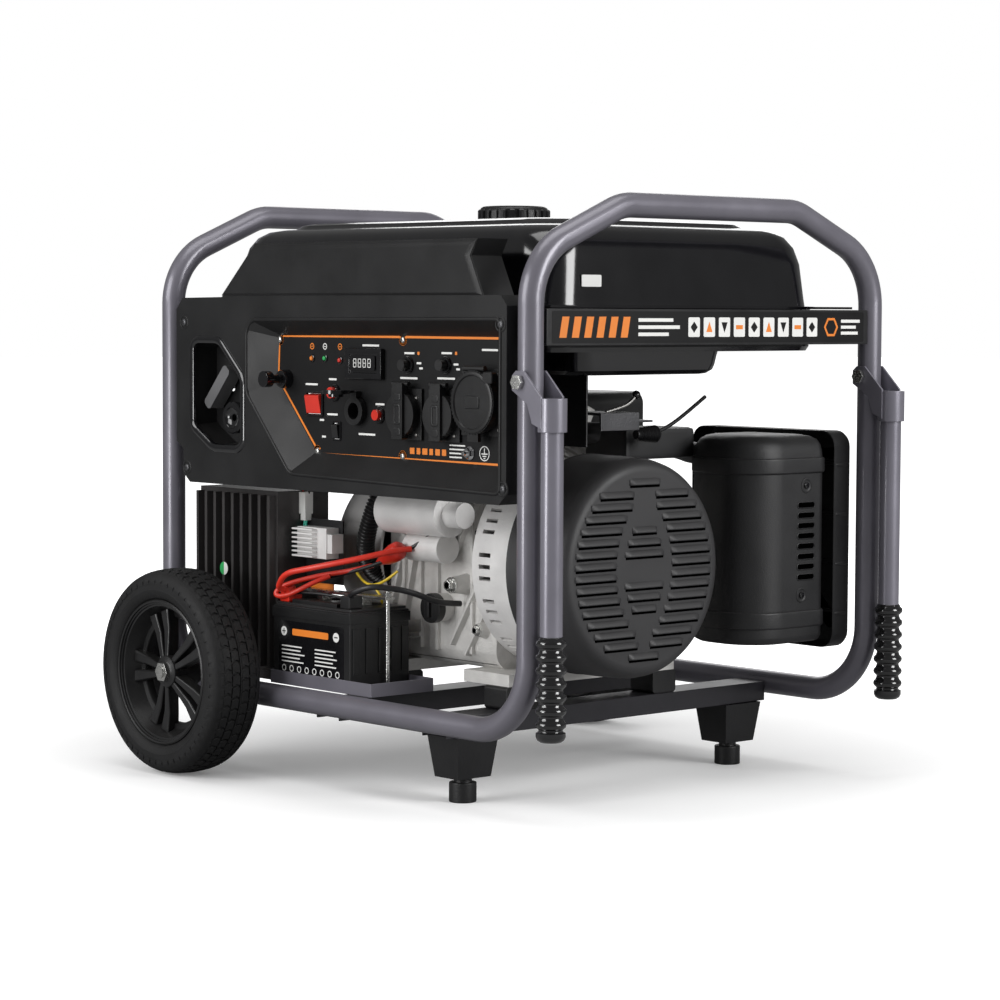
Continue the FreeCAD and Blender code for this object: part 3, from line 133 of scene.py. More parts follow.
def soft_panel(name, place, aim, wide, high, power):
    lamp = bpy.data.lights.new(name, "AREA")
    lamp.shape = "RECTANGLE"
    lamp.size, lamp.size_y, lamp.energy = wide, high, power
    holder = bpy.data.objects.new(name, lamp)
    bpy.context.scene.collection.objects.link(holder)
    holder.location = place
    holder.rotation_euler = (Vector(aim) - Vector(place)).to_track_quat("-Z", "Y").to_euler()


soft_panel("front_panel", (-0.9, -3.4, 1.7), (0, 0, 0.4), 2.4, 1.8, 66)
soft_panel("right_panel", (3.4, 0.9, 1.6), (0, 0, 0.4), 1.6, 2.0, 92)
soft_panel("overhead_panel", (0.3, -0.2, 3.0), (0, 0, 0.4), 2.6, 1.4, 27)
soft_panel("back_panel", (-2.6, 2.8, 1.8), (0, 0, 0.5), 1.8, 1.8, 18)
soft_panel("bay_light", (-0.1, -2.2, 0.35), (0.0, -0.1, 0.26), 0.6, 0.4, 9)
world = bpy.data.worlds.new("studio")
bpy.context.scene.world = world
world.use_nodes = True
sky = world.node_tree
seen = added(sky, "ShaderNodeLightPath")
strength = None
for ray, amount in (("Is Camera Ray", 1.0), ("Is Diffuse Ray", 0.40), ("Is Glossy Ray", 0.15)):
    share = added(sky, "ShaderNodeMath", operation="MULTIPLY_ADD")
    share.inputs[1].default_value = amount
    share.inputs[2].default_value = 0.0
    sky.links.new(seen.outputs[ray], share.inputs[0])
    if strength:
        sky.links.new(strength, share.inputs[2])
    strength = share.outputs[0]
sky.links.new(strength, sky.nodes["Background"].inputs["Strength"])
sky.nodes["Background"].inputs["Color"].default_value = (1, 1, 1, 1)
bpy.context.scene.view_settings.view_transform = "Standard"

# %% [markdown]
# ## Shared effects
# Three node groups carry what several finishes share. `surface_texture` gives a fine bump for moulded
# grain, cast skin or orange peel, `blotches` a slow change of tone, and `settled_dust` a mask that is
# strong where a face looks up. Each puts out only values, masks and normals, and every material places
# them with its own numbers.

# %% Shared effects
def group_of(name, inputs, outputs):
    group = bpy.data.node_groups.new(name, "ShaderNodeTree")
    for label, value in inputs:
        socket = group.interface.new_socket(label, in_out="INPUT", socket_type="NodeSocketFloat")
        socket.default_value = value
    for label, kind in outputs:
        group.interface.new_socket(label, in_out="OUTPUT", socket_type=kind)
    return group, group.nodes.new("NodeGroupInput"), group.nodes.new("NodeGroupOutput")


def node(tree, kind, links=(), **settings):
    """A new node with its settings, and with each input joined to a socket or given a value."""
    made = tree.nodes.new(kind)
    for name, value in settings.items():
        setattr(made, name, value)
    for label, value in dict(links).items():
        socket = made.inputs[label]
        if isinstance(value, bpy.types.NodeSocket):
            tree.links.new(value, socket)
        else:
            socket.default_value = value
    return made


def surface_texture_group():
    group, given, result = group_of("surface_texture", [("Scale", 300), ("Depth", 0.2), ("Stretch", 1)],
                                    [("Height", "NodeSocketFloat"), ("Normal", "NodeSocketVector")])
    spot = node(group, "ShaderNodeTexCoord").outputs["Object"]
    squeeze = node(group, "ShaderNodeCombineXYZ", {"X": given.outputs["Stretch"], "Y": 1.0, "Z": 1.0})
    along = node(group, "ShaderNodeVectorMath", {0: spot, 1: squeeze.outputs[0]}, operation="MULTIPLY")
    noise = node(group, "ShaderNodeTexNoise", {"Vector": along.outputs[0], "Scale": given.outputs["Scale"],
                                               "Detail": 3.0, "Roughness": 0.6})
    bump = node(group, "ShaderNodeBump", {"Strength": given.outputs["Depth"], "Distance": MM,
                                          "Height": noise.outputs[0]})
    group.links.new(noise.outputs[0], result.inputs["Height"])
    group.links.new(bump.outputs[0], result.inputs["Normal"])
    return group


def blotches_group():
    group, given, result = group_of("blotches", [("Scale", 14), ("Low", 0), ("High", 1)],
                                    [("Value", "NodeSocketFloat")])
    spot = node(group, "ShaderNodeTexCoord").outputs["Object"]
    noise = node(group, "ShaderNodeTexNoise", {"Vector": spot, "Scale": given.outputs["Scale"],
                                               "Detail": 5.0})
    spread = node(group, "ShaderNodeMapRange", {"Value": noise.outputs[0], "From Min": 0.3, "From Max": 0.7,
                                                "To Min": given.outputs["Low"],
                                                "To Max": given.outputs["High"]})
    group.links.new(spread.outputs[0], result.inputs["Value"])
    return group


def settled_dust_group():
    group, given, result = group_of("settled_dust", [("Amount", 0.2), ("Scale", 40)],
                                    [("Mask", "NodeSocketFloat")])
    spot = node(group, "ShaderNodeTexCoord").outputs["Object"]
    facing = node(group, "ShaderNodeSeparateXYZ", {0: node(group, "ShaderNodeNewGeometry").outputs["Normal"]})
    upward = node(group, "ShaderNodeMapRange", {"Value": facing.outputs["Z"], "From Min": 0.2})
    noise = node(group, "ShaderNodeTexNoise", {"Vector": spot, "Scale": given.outputs["Scale"],
                                               "Detail": 6.0})
    patch = node(group, "ShaderNodeMath", {0: upward.outputs[0], 1: noise.outputs[0]}, operation="MULTIPLY")
    mask = node(group, "ShaderNodeMath", {0: patch.outputs[0], 1: given.outputs["Amount"]},
                operation="MULTIPLY")
    group.links.new(mask.outputs[0], result.inputs["Mask"])
    return group


TEXTURE, BLOTCHES, DUST = surface_texture_group(), blotches_group(), settled_dust_group()
print("shared effects", TEXTURE.name, BLOTCHES.name, DUST.name)

# %% [markdown]
# ## Finishes
# One recipe makes them all: a base colour that drifts a little between two tones, a roughness that
# drifts with it, a fine bump and a trace of dust on what faces up. Painted tube has a clear coat over
# an orange-peel bump, moulded plastic has a tight grain, cast aluminium a coarse one, and plated steel
# a bump drawn out in one direction.

# %% The recipe for a finish
DUST_COLOUR = (0.30, 0.28, 0.26)
FINISHES = {}


def finish_of(name, colour, rough, metal=0.0, drift=0.15, grain=(300, 0.2, 1), coat=0.0, dust=0.1,
              patch=14, specular=0.5):
    material = bpy.data.materials.new(name)
    material.use_nodes = True
    tree = material.node_tree
    shader = tree.nodes["Principled BSDF"]
    tone = node(tree, "ShaderNodeGroup", node_tree=BLOTCHES)
    tone.inputs["Scale"].default_value = patch
    dark = [channel * (1 - drift) for channel in colour]
    light = [min(1, channel * (1 + drift)) for channel in colour]
    base = node(tree, "ShaderNodeMix", {"Factor": tone.outputs[0], 6: (*dark, 1), 7: (*light, 1)},
                data_type="RGBA")
    dusty = node(tree, "ShaderNodeGroup", node_tree=DUST)
    dusty.inputs["Amount"].default_value = dust
    shown = node(tree, "ShaderNodeMix", {"Factor": dusty.outputs[0], 6: base.outputs[2],
                                         7: (*DUST_COLOUR, 1)}, data_type="RGBA")
    tree.links.new(shown.outputs[2], shader.inputs["Base Color"])
    sheen = node(tree, "ShaderNodeMapRange", {"Value": tone.outputs[0], "To Min": rough * 0.85,
                                              "To Max": min(1, rough * 1.15)})
    tree.links.new(sheen.outputs[0], shader.inputs["Roughness"])
    texture = node(tree, "ShaderNodeGroup", node_tree=TEXTURE)
    for label, value in zip(("Scale", "Depth", "Stretch"), grain):
        texture.inputs[label].default_value = value
    tree.links.new(texture.outputs["Normal"], shader.inputs["Normal"])
    shader.inputs["Metallic"].default_value = metal
    shader.inputs["Coat Weight"].default_value = coat
    shader.inputs["Coat Roughness"].default_value = 0.12
    shader.inputs["Specular IOR Level"].default_value = specular
    FINISHES[name] = material
    return material


# %% Paints and plastics
finish_of("tube_paint", (0.175, 0.168, 0.198), 0.36, 0.35, grain=(90, 0.12, 1), coat=0.35, drift=0.06)
finish_of("handle_paint", (0.22, 0.212, 0.25), 0.34, 0.35, grain=(90, 0.12, 1), coat=0.35, drift=0.06)
finish_of("bracket_paint", (0.010, 0.010, 0.011), 0.38, 0.1, grain=(160, 0.25, 1), coat=0.1, dust=0.05)
finish_of("channel_paint", (0.026, 0.025, 0.030), 0.36, 0.3, grain=(160, 0.2, 1), coat=0.2, dust=0.05)
finish_of("tank_gloss", (0.003, 0.003, 0.004), 0.17, 0.0, grain=(22, 0.10, 1), coat=0.8, dust=0.03)
finish_of("housing_plastic", (0.009, 0.009, 0.0095), 0.43, 0.0, grain=(900, 0.12, 1), dust=0.04,
          specular=0.35)
finish_of("plate_film", (0.004, 0.004, 0.0045), 0.50, 0.0, grain=(1500, 0.06, 1), dust=0.0, specular=0.25)
finish_of("dark_plastic", (0.007, 0.007, 0.0075), 0.38, 0.0, grain=(700, 0.15, 1), dust=0.03)
finish_of("gloss_plastic", (0.006, 0.006, 0.007), 0.16, 0.0, grain=(60, 0.06, 1), coat=0.5, dust=0.0)
finish_of("module_plastic", (0.040, 0.037, 0.037), 0.34, 0.1, grain=(260, 0.25, 1), dust=0.08)
finish_of("cover_grey", (0.030, 0.0295, 0.031), 0.50, 0.0, grain=(1100, 0.22, 1), dust=0.05, drift=0.07)
finish_of("muffler_paint", (0.017, 0.017, 0.018), 0.48, 0.1, grain=(700, 0.30, 1), dust=0.06)
finish_of("red_plastic", (0.62, 0.025, 0.012), 0.32, 0.0, grain=(500, 0.08, 1), coat=0.25)
finish_of("orange_print", (0.80, 0.22, 0.02), 0.5, 0.0, grain=(800, 0.05, 1), dust=0.0, drift=0.05)
finish_of("white_print", (0.80, 0.80, 0.78), 0.5, 0.0, grain=(800, 0.05, 1), dust=0.0, drift=0.04)
finish_of("black_print", (0.010, 0.010, 0.011), 0.5, 0.0, grain=(800, 0.05, 1), dust=0.0)
# Painted shade: a black without shine, laid where an opening shows only darkness.
finish_of("painted_shade_black", (0.0006, 0.0006, 0.0006), 0.9, 0.0, grain=(800, 0.05, 1), dust=0.0, specular=0.0)
finish_of("green_print", (0.02, 0.40, 0.10), 0.45, 0.0, grain=(800, 0.05, 1), dust=0.0, drift=0.05)
finish_of("grey_bar", (0.17, 0.17, 0.175), 0.33, 0.35, grain=(500, 0.1, 1), coat=0.2)
finish_of("white_plastic", (0.72, 0.72, 0.70), 0.35, 0.0, grain=(400, 0.08, 1))

# %% Rubbers
finish_of("tyre_rubber", (0.007, 0.007, 0.0075), 0.62, 0.0, grain=(700, 0.5, 1), dust=0.04, drift=0.25,
          patch=40, specular=0.35)
finish_of("rim_plastic", (0.009, 0.009, 0.0095), 0.34, 0.0, grain=(500, 0.15, 1), dust=0.05)
finish_of("grip_rubber", (0.006, 0.006, 0.0065), 0.13, 0.0, grain=(120, 0.06, 1), coat=1.0, dust=0.02)
finish_of("foot_rubber", (0.009, 0.009, 0.0095), 0.42, 0.0, grain=(500, 0.4, 1), dust=0.04)
finish_of("hose_rubber", (0.008, 0.008, 0.009), 0.36, 0.0, grain=(300, 0.2, 1))
finish_of("wire_red", (0.70, 0.035, 0.018), 0.36, 0.0, grain=(250, 0.15, 1))
finish_of("wire_black", (0.012, 0.012, 0.013), 0.38, 0.0, grain=(250, 0.15, 1))
finish_of("wire_yellow", (0.78, 0.56, 0.03), 0.36, 0.0, grain=(250, 0.15, 1))
finish_of("wire_green", (0.03, 0.42, 0.30), 0.36, 0.0, grain=(250, 0.15, 1))

# %% Metals
finish_of("zinc_plate", (0.66, 0.66, 0.64), 0.26, 1.0, grain=(420, 0.35, 0.15), drift=0.12, patch=60)
finish_of("dull_steel", (0.38, 0.37, 0.36), 0.42, 1.0, grain=(350, 0.5, 0.2), drift=0.2, patch=40)
finish_of("cast_aluminium", (0.66, 0.65, 0.63), 0.46, 0.35, grain=(420, 0.75, 1), drift=0.12, patch=30)
finish_of("smooth_cast", (0.80, 0.79, 0.78), 0.38, 0.25, grain=(300, 0.35, 1), drift=0.08, patch=24)
finish_of("chrome", (0.75, 0.75, 0.76), 0.12, 1.0, grain=(60, 0.08, 1), drift=0.05)
finish_of("copper", (0.60, 0.26, 0.12), 0.35, 1.0, grain=(500, 0.5, 0.1))
finish_of("dark_steel", (0.10, 0.10, 0.105), 0.40, 0.9, grain=(350, 0.4, 0.3))
print("finishes", len(FINISHES))

# %% [markdown]
# ## Workshop helpers
# Everything is drawn in millimetres from the middle of the cage, as on a workshop drawing, and is
# turned into metres in the row frame when the piece is finished. A finished piece gets a soft edge,
# smooth shading that stops at real corners, its finish, and the CAD body that it moves with.

# %% Making a piece
def settle(mesh, angle=35):
    """Smooth shading, broken at edges over the angle, in which wide faces keep their own direction."""
    mesh.shade_smooth()
    mesh.set_sharp_from_angle(angle=math.radians(angle))
    holder = bpy.data.objects.new("settling", mesh)
    bpy.context.scene.collection.objects.link(holder)
    weigh = holder.modifiers.new("weigh", "WEIGHTED_NORMAL")
    weigh.keep_sharp, weigh.weight = True, 90
    shown = holder.evaluated_get(bpy.context.evaluated_depsgraph_get()).data
    normals = [corner.vector.copy() for corner in shown.corner_normals]
    bpy.data.objects.remove(holder)
    mesh.normals_split_custom_set(normals)


def ease_edges(bm, width, segments=2, angle=30):
    sharp = [e for e in bm.edges if len(e.link_faces) == 2 and e.calc_face_angle(0) > math.radians(angle)]
    bmesh.ops.bevel(bm, geom=sharp, offset=width, segments=segments, affect="EDGES",
                    clamp_overlap=True, profile=0.6)


def piece(name, bm, finish, body="root", stands_for=(), ease=0.0, angle=35):
    """Makes the drawing in bm a piece of the object: metres, row frame, finish, slot and body."""
    bmesh.ops.remove_doubles(bm, verts=bm.verts, dist=0.0005)
    bmesh.ops.recalc_face_normals(bm, faces=bm.faces)
    if ease:
        ease_edges(bm, ease)
    bmesh.ops.transform(bm, matrix=Matrix.Scale(MM, 4) @ Matrix.Translation((MID, 0, 0)), verts=bm.verts)
    mesh = bpy.data.meshes.new(name)
    bm.to_mesh(mesh)
    bm.free()
    settle(mesh, angle)
    return adopt(name, mesh, finish, body, stands_for)


def adopt(name, mesh, finish, body="root", stands_for=()):
    """Gives a mesh that is already in metres its object, finish, slot and body."""
    made = bpy.data.objects.new(name, mesh)
    bpy.context.scene.collection.objects.link(made)
    if finish:
        mesh.materials.clear()
        mesh.materials.append(FINISHES[finish])
    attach(made, body)
    if stands_for:
        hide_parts(*stands_for)
    return made


# %% Simple shapes to draw with
def add_block(bm, x, y, z, turned=None):
    """A block between two corners; x, y and z are (low, high) pairs. Turned is a 4 x 4 matrix."""
    corners = [bm.verts.new((x[i], y[j], z[k])) for i in (0, 1) for j in (0, 1) for k in (0, 1)]
    for ring in ((0, 1, 3, 2), (4, 6, 7, 5), (0, 4, 5, 1), (2, 3, 7, 6), (0, 2, 6, 4), (1, 5, 7, 3)):
        bm.faces.new([corners[i] for i in ring])
    if turned:
        bmesh.ops.transform(bm, matrix=turned, verts=corners)
    return corners


def add_stack(bm, rings, closed=True, loop=False):
    """Joins rings of the same number of points, one after the other."""
    rows = [[bm.verts.new(p) for p in ring] for ring in rings]
    count = len(rows[0])
    pairs = list(zip(rows, rows[1:])) + ([(rows[-1], rows[0])] if loop else [])
    for low, high in pairs:
        for i in range(count):
            j = (i + 1) % count
            bm.faces.new((low[i], low[j], high[j], high[i]))
    if closed and not loop:
        bm.faces.new(list(reversed(rows[0])))
        bm.faces.new(rows[-1])
    return rows


AXES = {"X": ((1, 0, 0), (0, 1, 0), (0, 0, 1)), "Y": ((0, 1, 0), (0, 0, 1), (1, 0, 0)),
        "Z": ((0, 0, 1), (1, 0, 0), (0, 1, 0))}


def add_turned(bm, axis, centre, profile, steps=48, closed=True, loop=False):
    """A turned shape: profile is a list of (distance along the axis, radius)."""
    forward, side, up = (Vector(v) for v in AXES[axis])
    rings = []
    for along, radius in profile:
        middle = Vector(centre) + forward * along
        rings.append([middle + (side * math.cos(a) + up * math.sin(a)) * radius
                      for a in (math.tau * i / steps for i in range(steps))])
    return add_stack(bm, rings, closed, loop)


def rounded(wide, high, radius, steps=5, centre=(0, 0)):
    """The outline of a rounded rectangle, anticlockwise."""
    points = []
    for quarter, (sx, sy) in enumerate(((1, 1), (-1, 1), (-1, -1), (1, -1))):
        for i in range(steps + 1):
            a = math.pi / 2 * (quarter + i / steps)
            points.append((centre[0] + sx * (wide / 2 - radius) + radius * math.cos(a),
                           centre[1] + sy * (high / 2 - radius) + radius * math.sin(a)))
    return points


def add_plate(bm, outline, plane, low, high):
    """A flat plate from a 2-D outline. Plane Y takes (x, z) points, X takes (y, z) and Z takes (x, y)."""
    place = {"Y": lambda p, d: (p[0], d, p[1]), "X": lambda p, d: (d, p[0], p[1]),
             "Z": lambda p, d: (p[0], p[1], d)}[plane]
    return add_stack(bm, [[place(p, low) for p in outline], [place(p, high) for p in outline]])


def grown(outline, by):
    """An outline moved outwards by a distance, corner by corner."""
    area = sum(a[0] * b[1] - b[0] * a[1] for a, b in zip(outline, outline[1:] + outline[:1]))
    sign = 1 if area > 0 else -1
    moved = []
    for before, here, after in zip(outline[-1:] + outline[:-1], outline, outline[1:] + outline[:1]):
        first = (Vector(here) - Vector(before)).normalized()
        second = (Vector(after) - Vector(here)).normalized()
        n1, n2 = Vector((first.y, -first.x)) * sign, Vector((second.y, -second.x)) * sign
        lean = (n1 + n2).normalized()
        moved.append(tuple(Vector(here) + lean * by / max(0.4, lean.dot(n1))))
    return moved


def soft_corners(outline, radius, steps=4):
    """Rounds the corners of an outline."""
    points = []
    for before, here, after in zip(outline[-1:] + outline[:-1], outline, outline[1:] + outline[:1]):
        here, back, ahead = Vector(here), Vector(before) - Vector(here), Vector(after) - Vector(here)
        reach = min(radius, back.length * 0.45, ahead.length * 0.45)
        start, end = here + back.normalized() * reach, here + ahead.normalized() * reach
        for i in range(steps + 1):
            t = i / steps
            points.append(tuple(start * (1 - t) ** 2 + here * 2 * t * (1 - t) + end * t ** 2))
    return points


def add_frame(bm, outline, width, plane, low, high):
    """A thin band that follows an outline."""
    inner = grown(outline, -width)
    place = {"Y": lambda p, d: (p[0], d, p[1]), "X": lambda p, d: (d, p[0], p[1])}[plane]
    rings = [[place(p, d) for p in edge] for edge, d in
             ((outline, low), (outline, high), (inner, high), (inner, low))]
    count = len(outline)
    rows = [[bm.verts.new(p) for p in ring] for ring in rings]
    for a in range(4):
        b = (a + 1) % 4
        for i in range(count):
            j = (i + 1) % count
            bm.faces.new((rows[a][i], rows[a][j], rows[b][j], rows[b][i]))


# %% A carried-over part with soft edges
def softened(name, finish, body="root", width=0.8, angle=32):
    """A copy of a CAD node whose corners are eased, as moulding, casting or bending leaves them."""
    bm = bmesh.new()
    bm.from_mesh(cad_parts[name].data)
    bmesh.ops.remove_doubles(bm, verts=bm.verts, dist=0.01 * MM)
    bmesh.ops.dissolve_limit(bm, angle_limit=math.radians(0.8), verts=bm.verts, edges=bm.edges)
    ease_edges(bm, width * MM, 2, angle)
    mesh = bpy.data.meshes.new(name + "_made")
    bm.to_mesh(mesh)
    bm.free()
    settle(mesh, angle)
    return adopt(name + "_made", mesh, finish, body, (name,))


def keep(name, finish):
    """A CAD node that is shown as it is takes one of the finishes in its own slots."""
    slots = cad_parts[name].data.materials
    for index in range(len(slots)):
        slots[index] = FINISHES[finish]


def wire(name, points, radius, finish, body="root", steps=6):
    """A round wire or tube that follows a smooth spline through drawing points."""
    curve = bpy.data.curves.new(name, "CURVE")
    curve.dimensions = "3D"
    curve.bevel_depth, curve.bevel_resolution, curve.use_fill_caps = radius * MM, 4, True
    spline = curve.splines.new("NURBS")
    spline.points.add(len(points) - 1)
    for point, (x, y, z) in zip(spline.points, points):
        point.co = ((x + MID) * MM, y * MM, z * MM, 1)
    spline.order_u, spline.use_endpoint_u, spline.resolution_u = 3, True, steps
    holder = bpy.data.objects.new(name + "_line", curve)
    mesh = bpy.data.meshes.new_from_object(holder)
    bpy.data.objects.remove(holder)
    bm = bmesh.new()
    bm.from_mesh(mesh)
    bmesh.ops.remove_doubles(bm, verts=bm.verts, dist=0.01 * MM)
    bmesh.ops.recalc_face_normals(bm, faces=bm.faces)
    bm.to_mesh(mesh)
    bm.free()
    settle(mesh, 50)
    return adopt(name, mesh, finish, body)


# %% [markdown]
# ## Node trees for what repeats
# Tread blocks, spokes, louvres, slots, fins and screw heads all repeat. Three small trees place one
# drawn item many times: `around_an_axle` turns copies about a centre, `rows_of` steps them in a grid,
# and `on_spots` puts one on each point of a guide mesh, with its own turn. Each ends in Realize
# Instances and Set Material, and the result is turned into a plain mesh.

# %% The three trees
def geometry_tree(name, inputs):
    tree = bpy.data.node_groups.new(name, "GeometryNodeTree")
    tree.interface.new_socket("Item", in_out="INPUT", socket_type="NodeSocketGeometry")
    for label, kind, value in inputs:
        socket = tree.interface.new_socket(label, in_out="INPUT", socket_type=kind)
        if value is not None:
            socket.default_value = value
    tree.interface.new_socket("Result", in_out="OUTPUT", socket_type="NodeSocketGeometry")
    return tree, tree.nodes.new("NodeGroupInput"), tree.nodes.new("NodeGroupOutput")


def close_tree(tree, given, result, geometry):
    real = node(tree, "GeometryNodeRealizeInstances", {0: geometry})
    dressed = node(tree, "GeometryNodeSetMaterial", {"Geometry": real.outputs[0],
                                                     "Material": given.outputs["Finish"]})
    tree.links.new(dressed.outputs[0], result.inputs[0])
    return tree


def around_tree():
    tree, given, result = geometry_tree("around_an_axle", [
        ("Count", "NodeSocketInt", 5), ("Start", "NodeSocketFloat", 0.0),
        ("Axle", "NodeSocketVector", (0, 1, 0)), ("Centre", "NodeSocketVector", (0, 0, 0)),
        ("Finish", "NodeSocketMaterial", None)])
    dots = node(tree, "GeometryNodePoints", {"Count": given.outputs["Count"]})
    share = node(tree, "ShaderNodeMath", {0: node(tree, "GeometryNodeInputIndex").outputs[0],
                                          1: given.outputs["Count"]}, operation="DIVIDE")
    angle = node(tree, "ShaderNodeMath", {0: share.outputs[0], 1: math.tau, 2: given.outputs["Start"]},
                 operation="MULTIPLY_ADD")
    turn = node(tree, "FunctionNodeAxisAngleToRotation", {"Axis": given.outputs["Axle"],
                                                          "Angle": angle.outputs[0]})
    copies = node(tree, "GeometryNodeInstanceOnPoints", {"Points": dots.outputs[0],
                                                         "Instance": given.outputs["Item"],
                                                         "Rotation": turn.outputs[0]})
    moved = node(tree, "GeometryNodeTransform", {"Geometry": copies.outputs[0],
                                                 "Translation": given.outputs["Centre"]})
    return close_tree(tree, given, result, moved.outputs[0])


def rows_tree():
    tree, given, result = geometry_tree("rows_of", [
        ("Columns", "NodeSocketInt", 3), ("Rows", "NodeSocketInt", 1),
        ("Step", "NodeSocketVector", (0.01, 0, 0)), ("Row step", "NodeSocketVector", (0, 0, 0.01)),
        ("Finish", "NodeSocketMaterial", None)])
    total = node(tree, "ShaderNodeMath", {0: given.outputs["Columns"], 1: given.outputs["Rows"]},
                 operation="MULTIPLY")
    dots = node(tree, "GeometryNodePoints", {"Count": total.outputs[0]})
    index = node(tree, "GeometryNodeInputIndex").outputs[0]
    column = node(tree, "ShaderNodeMath", {0: index, 1: given.outputs["Columns"]}, operation="MODULO")
    share = node(tree, "ShaderNodeMath", {0: index, 1: given.outputs["Columns"]}, operation="DIVIDE")
    row = node(tree, "ShaderNodeMath", {0: share.outputs[0]}, operation="FLOOR")
    across = node(tree, "ShaderNodeVectorMath", {0: given.outputs["Step"], "Scale": column.outputs[0]},
                  operation="SCALE")
    up = node(tree, "ShaderNodeVectorMath", {0: given.outputs["Row step"], "Scale": row.outputs[0]},
              operation="SCALE")
    place = node(tree, "ShaderNodeVectorMath", {0: across.outputs[0], 1: up.outputs[0]})
    spread = node(tree, "GeometryNodeSetPosition",
                  {"Geometry": dots.outputs[0], "Position": place.outputs[0]})
    copies = node(tree, "GeometryNodeInstanceOnPoints", {"Points": spread.outputs[0],
                                                         "Instance": given.outputs["Item"]})
    return close_tree(tree, given, result, copies.outputs[0])


def spots_tree():
    tree, given, result = geometry_tree("on_spots", [
        ("Guide", "NodeSocketObject", None), ("Finish", "NodeSocketMaterial", None)])
    guide = node(tree, "GeometryNodeObjectInfo", {"Object": given.outputs["Guide"]})
    turn = node(tree, "GeometryNodeInputNamedAttribute", {"Name": "turn"}, data_type="FLOAT_VECTOR")
    size = node(tree, "GeometryNodeInputNamedAttribute", {"Name": "size"}, data_type="FLOAT_VECTOR")
    facing = node(tree, "FunctionNodeEulerToRotation", {0: turn.outputs["Attribute"]})
    copies = node(tree, "GeometryNodeInstanceOnPoints", {"Points": guide.outputs["Geometry"],
                                                         "Instance": given.outputs["Item"],
                                                         "Rotation": facing.outputs[0],
                                                         "Scale": size.outputs["Attribute"]})
    return close_tree(tree, given, result, copies.outputs[0])


AROUND, ROWS, SPOTS = around_tree(), rows_tree(), spots_tree()


# %% Using a tree
def repeated(name, bm, tree, inputs, finish, body="root", stands_for=(), angle=35, ease=0.0):
    """Draws the item in bm, in millimetres about its own origin, and repeats it with a tree."""
    bmesh.ops.recalc_face_normals(bm, faces=bm.faces)
    if ease:
        ease_edges(bm, ease, 1)
    bmesh.ops.transform(bm, matrix=Matrix.Scale(MM, 4), verts=bm.verts)
    item = bpy.data.meshes.new(name + "_item")
    bm.to_mesh(item)
    bm.free()
    settle(item, angle)
    holder = bpy.data.objects.new(name + "_holder", item)
    bpy.context.scene.collection.objects.link(holder)
    modifier = holder.modifiers.new("repeat", "NODES")
    modifier.node_group = tree
    sockets = {s.name: s.identifier for s in tree.interface.items_tree if s.in_out == "INPUT"}
    for label, value in {**inputs, "Finish": FINISHES[finish]}.items():
        modifier[sockets[label]] = value
    mesh = bpy.data.meshes.new_from_object(holder.evaluated_get(bpy.context.evaluated_depsgraph_get()))
    bpy.data.objects.remove(holder)
    mesh.name = name
    settle(mesh, angle)
    print(name, len(mesh.polygons), "faces")
    return adopt(name, mesh, None, body, stands_for)


def guide_of(spots):
    """A guide mesh for on_spots: each spot is ((x, y, z), turn in degrees, size)."""
    mesh = bpy.data.meshes.new("guide")
    mesh.from_pydata([((x + MID) * MM, y * MM, z * MM) for (x, y, z), _, _ in spots], [], [])
    for label, column in (("turn", 1), ("size", 2)):
        values = mesh.attributes.new(label, "FLOAT_VECTOR", "POINT").data
        for value, spot in zip(values, spots):
            given = spot[column]
            value.vector = [math.radians(v) for v in given] if label == "turn" else given
    guide = bpy.data.objects.new("guide", mesh)
    bpy.context.scene.collection.objects.link(guide)
    return guide


def on_spots(name, bm, spots, finish, body="root", angle=35, ease=0.0):
    guide = guide_of(spots)
    made = repeated(name, bm, SPOTS, {"Guide": guide}, finish, body, angle=angle, ease=ease)
    bpy.data.objects.remove(guide)
    return made


def metres(x, y, z):
    """A place on the drawing as a tuple in metres, in the row frame."""
    return ((x + MID) * MM, y * MM, z * MM)


print("trees", AROUND.name, ROWS.name, SPOTS.name)

# %% [markdown]
# ## Cage
# The cage is bent steel tube, sprayed a graphite grey with a little metal in it. The CAD tubes have the
# right bends, so each is copied, its loose triangles are joined, and the copy is shaded smooth. Beams,
# channels and foot brackets are folded sheet, so their corners are eased by half a millimetre.

# %% Tubes, beams and feet
for name in ("frame_loop_right", "frame_loop_left", "frame_rail_front", "frame_rail_rear"):
    softened(name, "tube_paint", width=0)
for name in ("tank_beam_right", "tank_beam_left"):
    softened(name, "bracket_paint", width=1.2)
for name in ("cross_channel_right", "cross_channel_left"):
    softened(name, "channel_paint", width=1.0)
softened("foot_brackets", "bracket_paint", width=1.4)
softened("rubber_feet", "foot_rubber", width=1.5)
softened("bolts_and_nuts", "zinc_plate", width=0.6)
softened("axle", "zinc_plate", width=0.6)

# %% [markdown]
# ## Lifting handles
# A handle folds up on a bolt through the upright. The tube keeps its CAD shape, and the rubber grip is
# turned from one profile: seven soft rings between a collar and a rounded end, which is how a dipped
# or slipped-on grip looks.

# %% Handles and grips
POST_Y, GRIP_X, GRIP_LOW, GRIP_HIGH = 313.4, 412, 110, 240
RINGS, RING_PITCH = 7, 16.6


def grip_profile():
    profile = [(0, 9), (0.6, 13), (3, 16.5), (7, 18.4), (12, 18.4)]
    for ring in range(RINGS):
        base = 13.5 + ring * RING_PITCH
        profile += [(base, 15.2), (base + 2.2, 14.9), (base + 3.6, 16.2), (base + 5.8, 18.6),
                    (base + 8.6, 19.3), (base + 11.4, 18.6), (base + 13.4, 16.4)]
    return profile + [(GRIP_HIGH - GRIP_LOW - 1, 15.4), (GRIP_HIGH - GRIP_LOW, 14.6)]


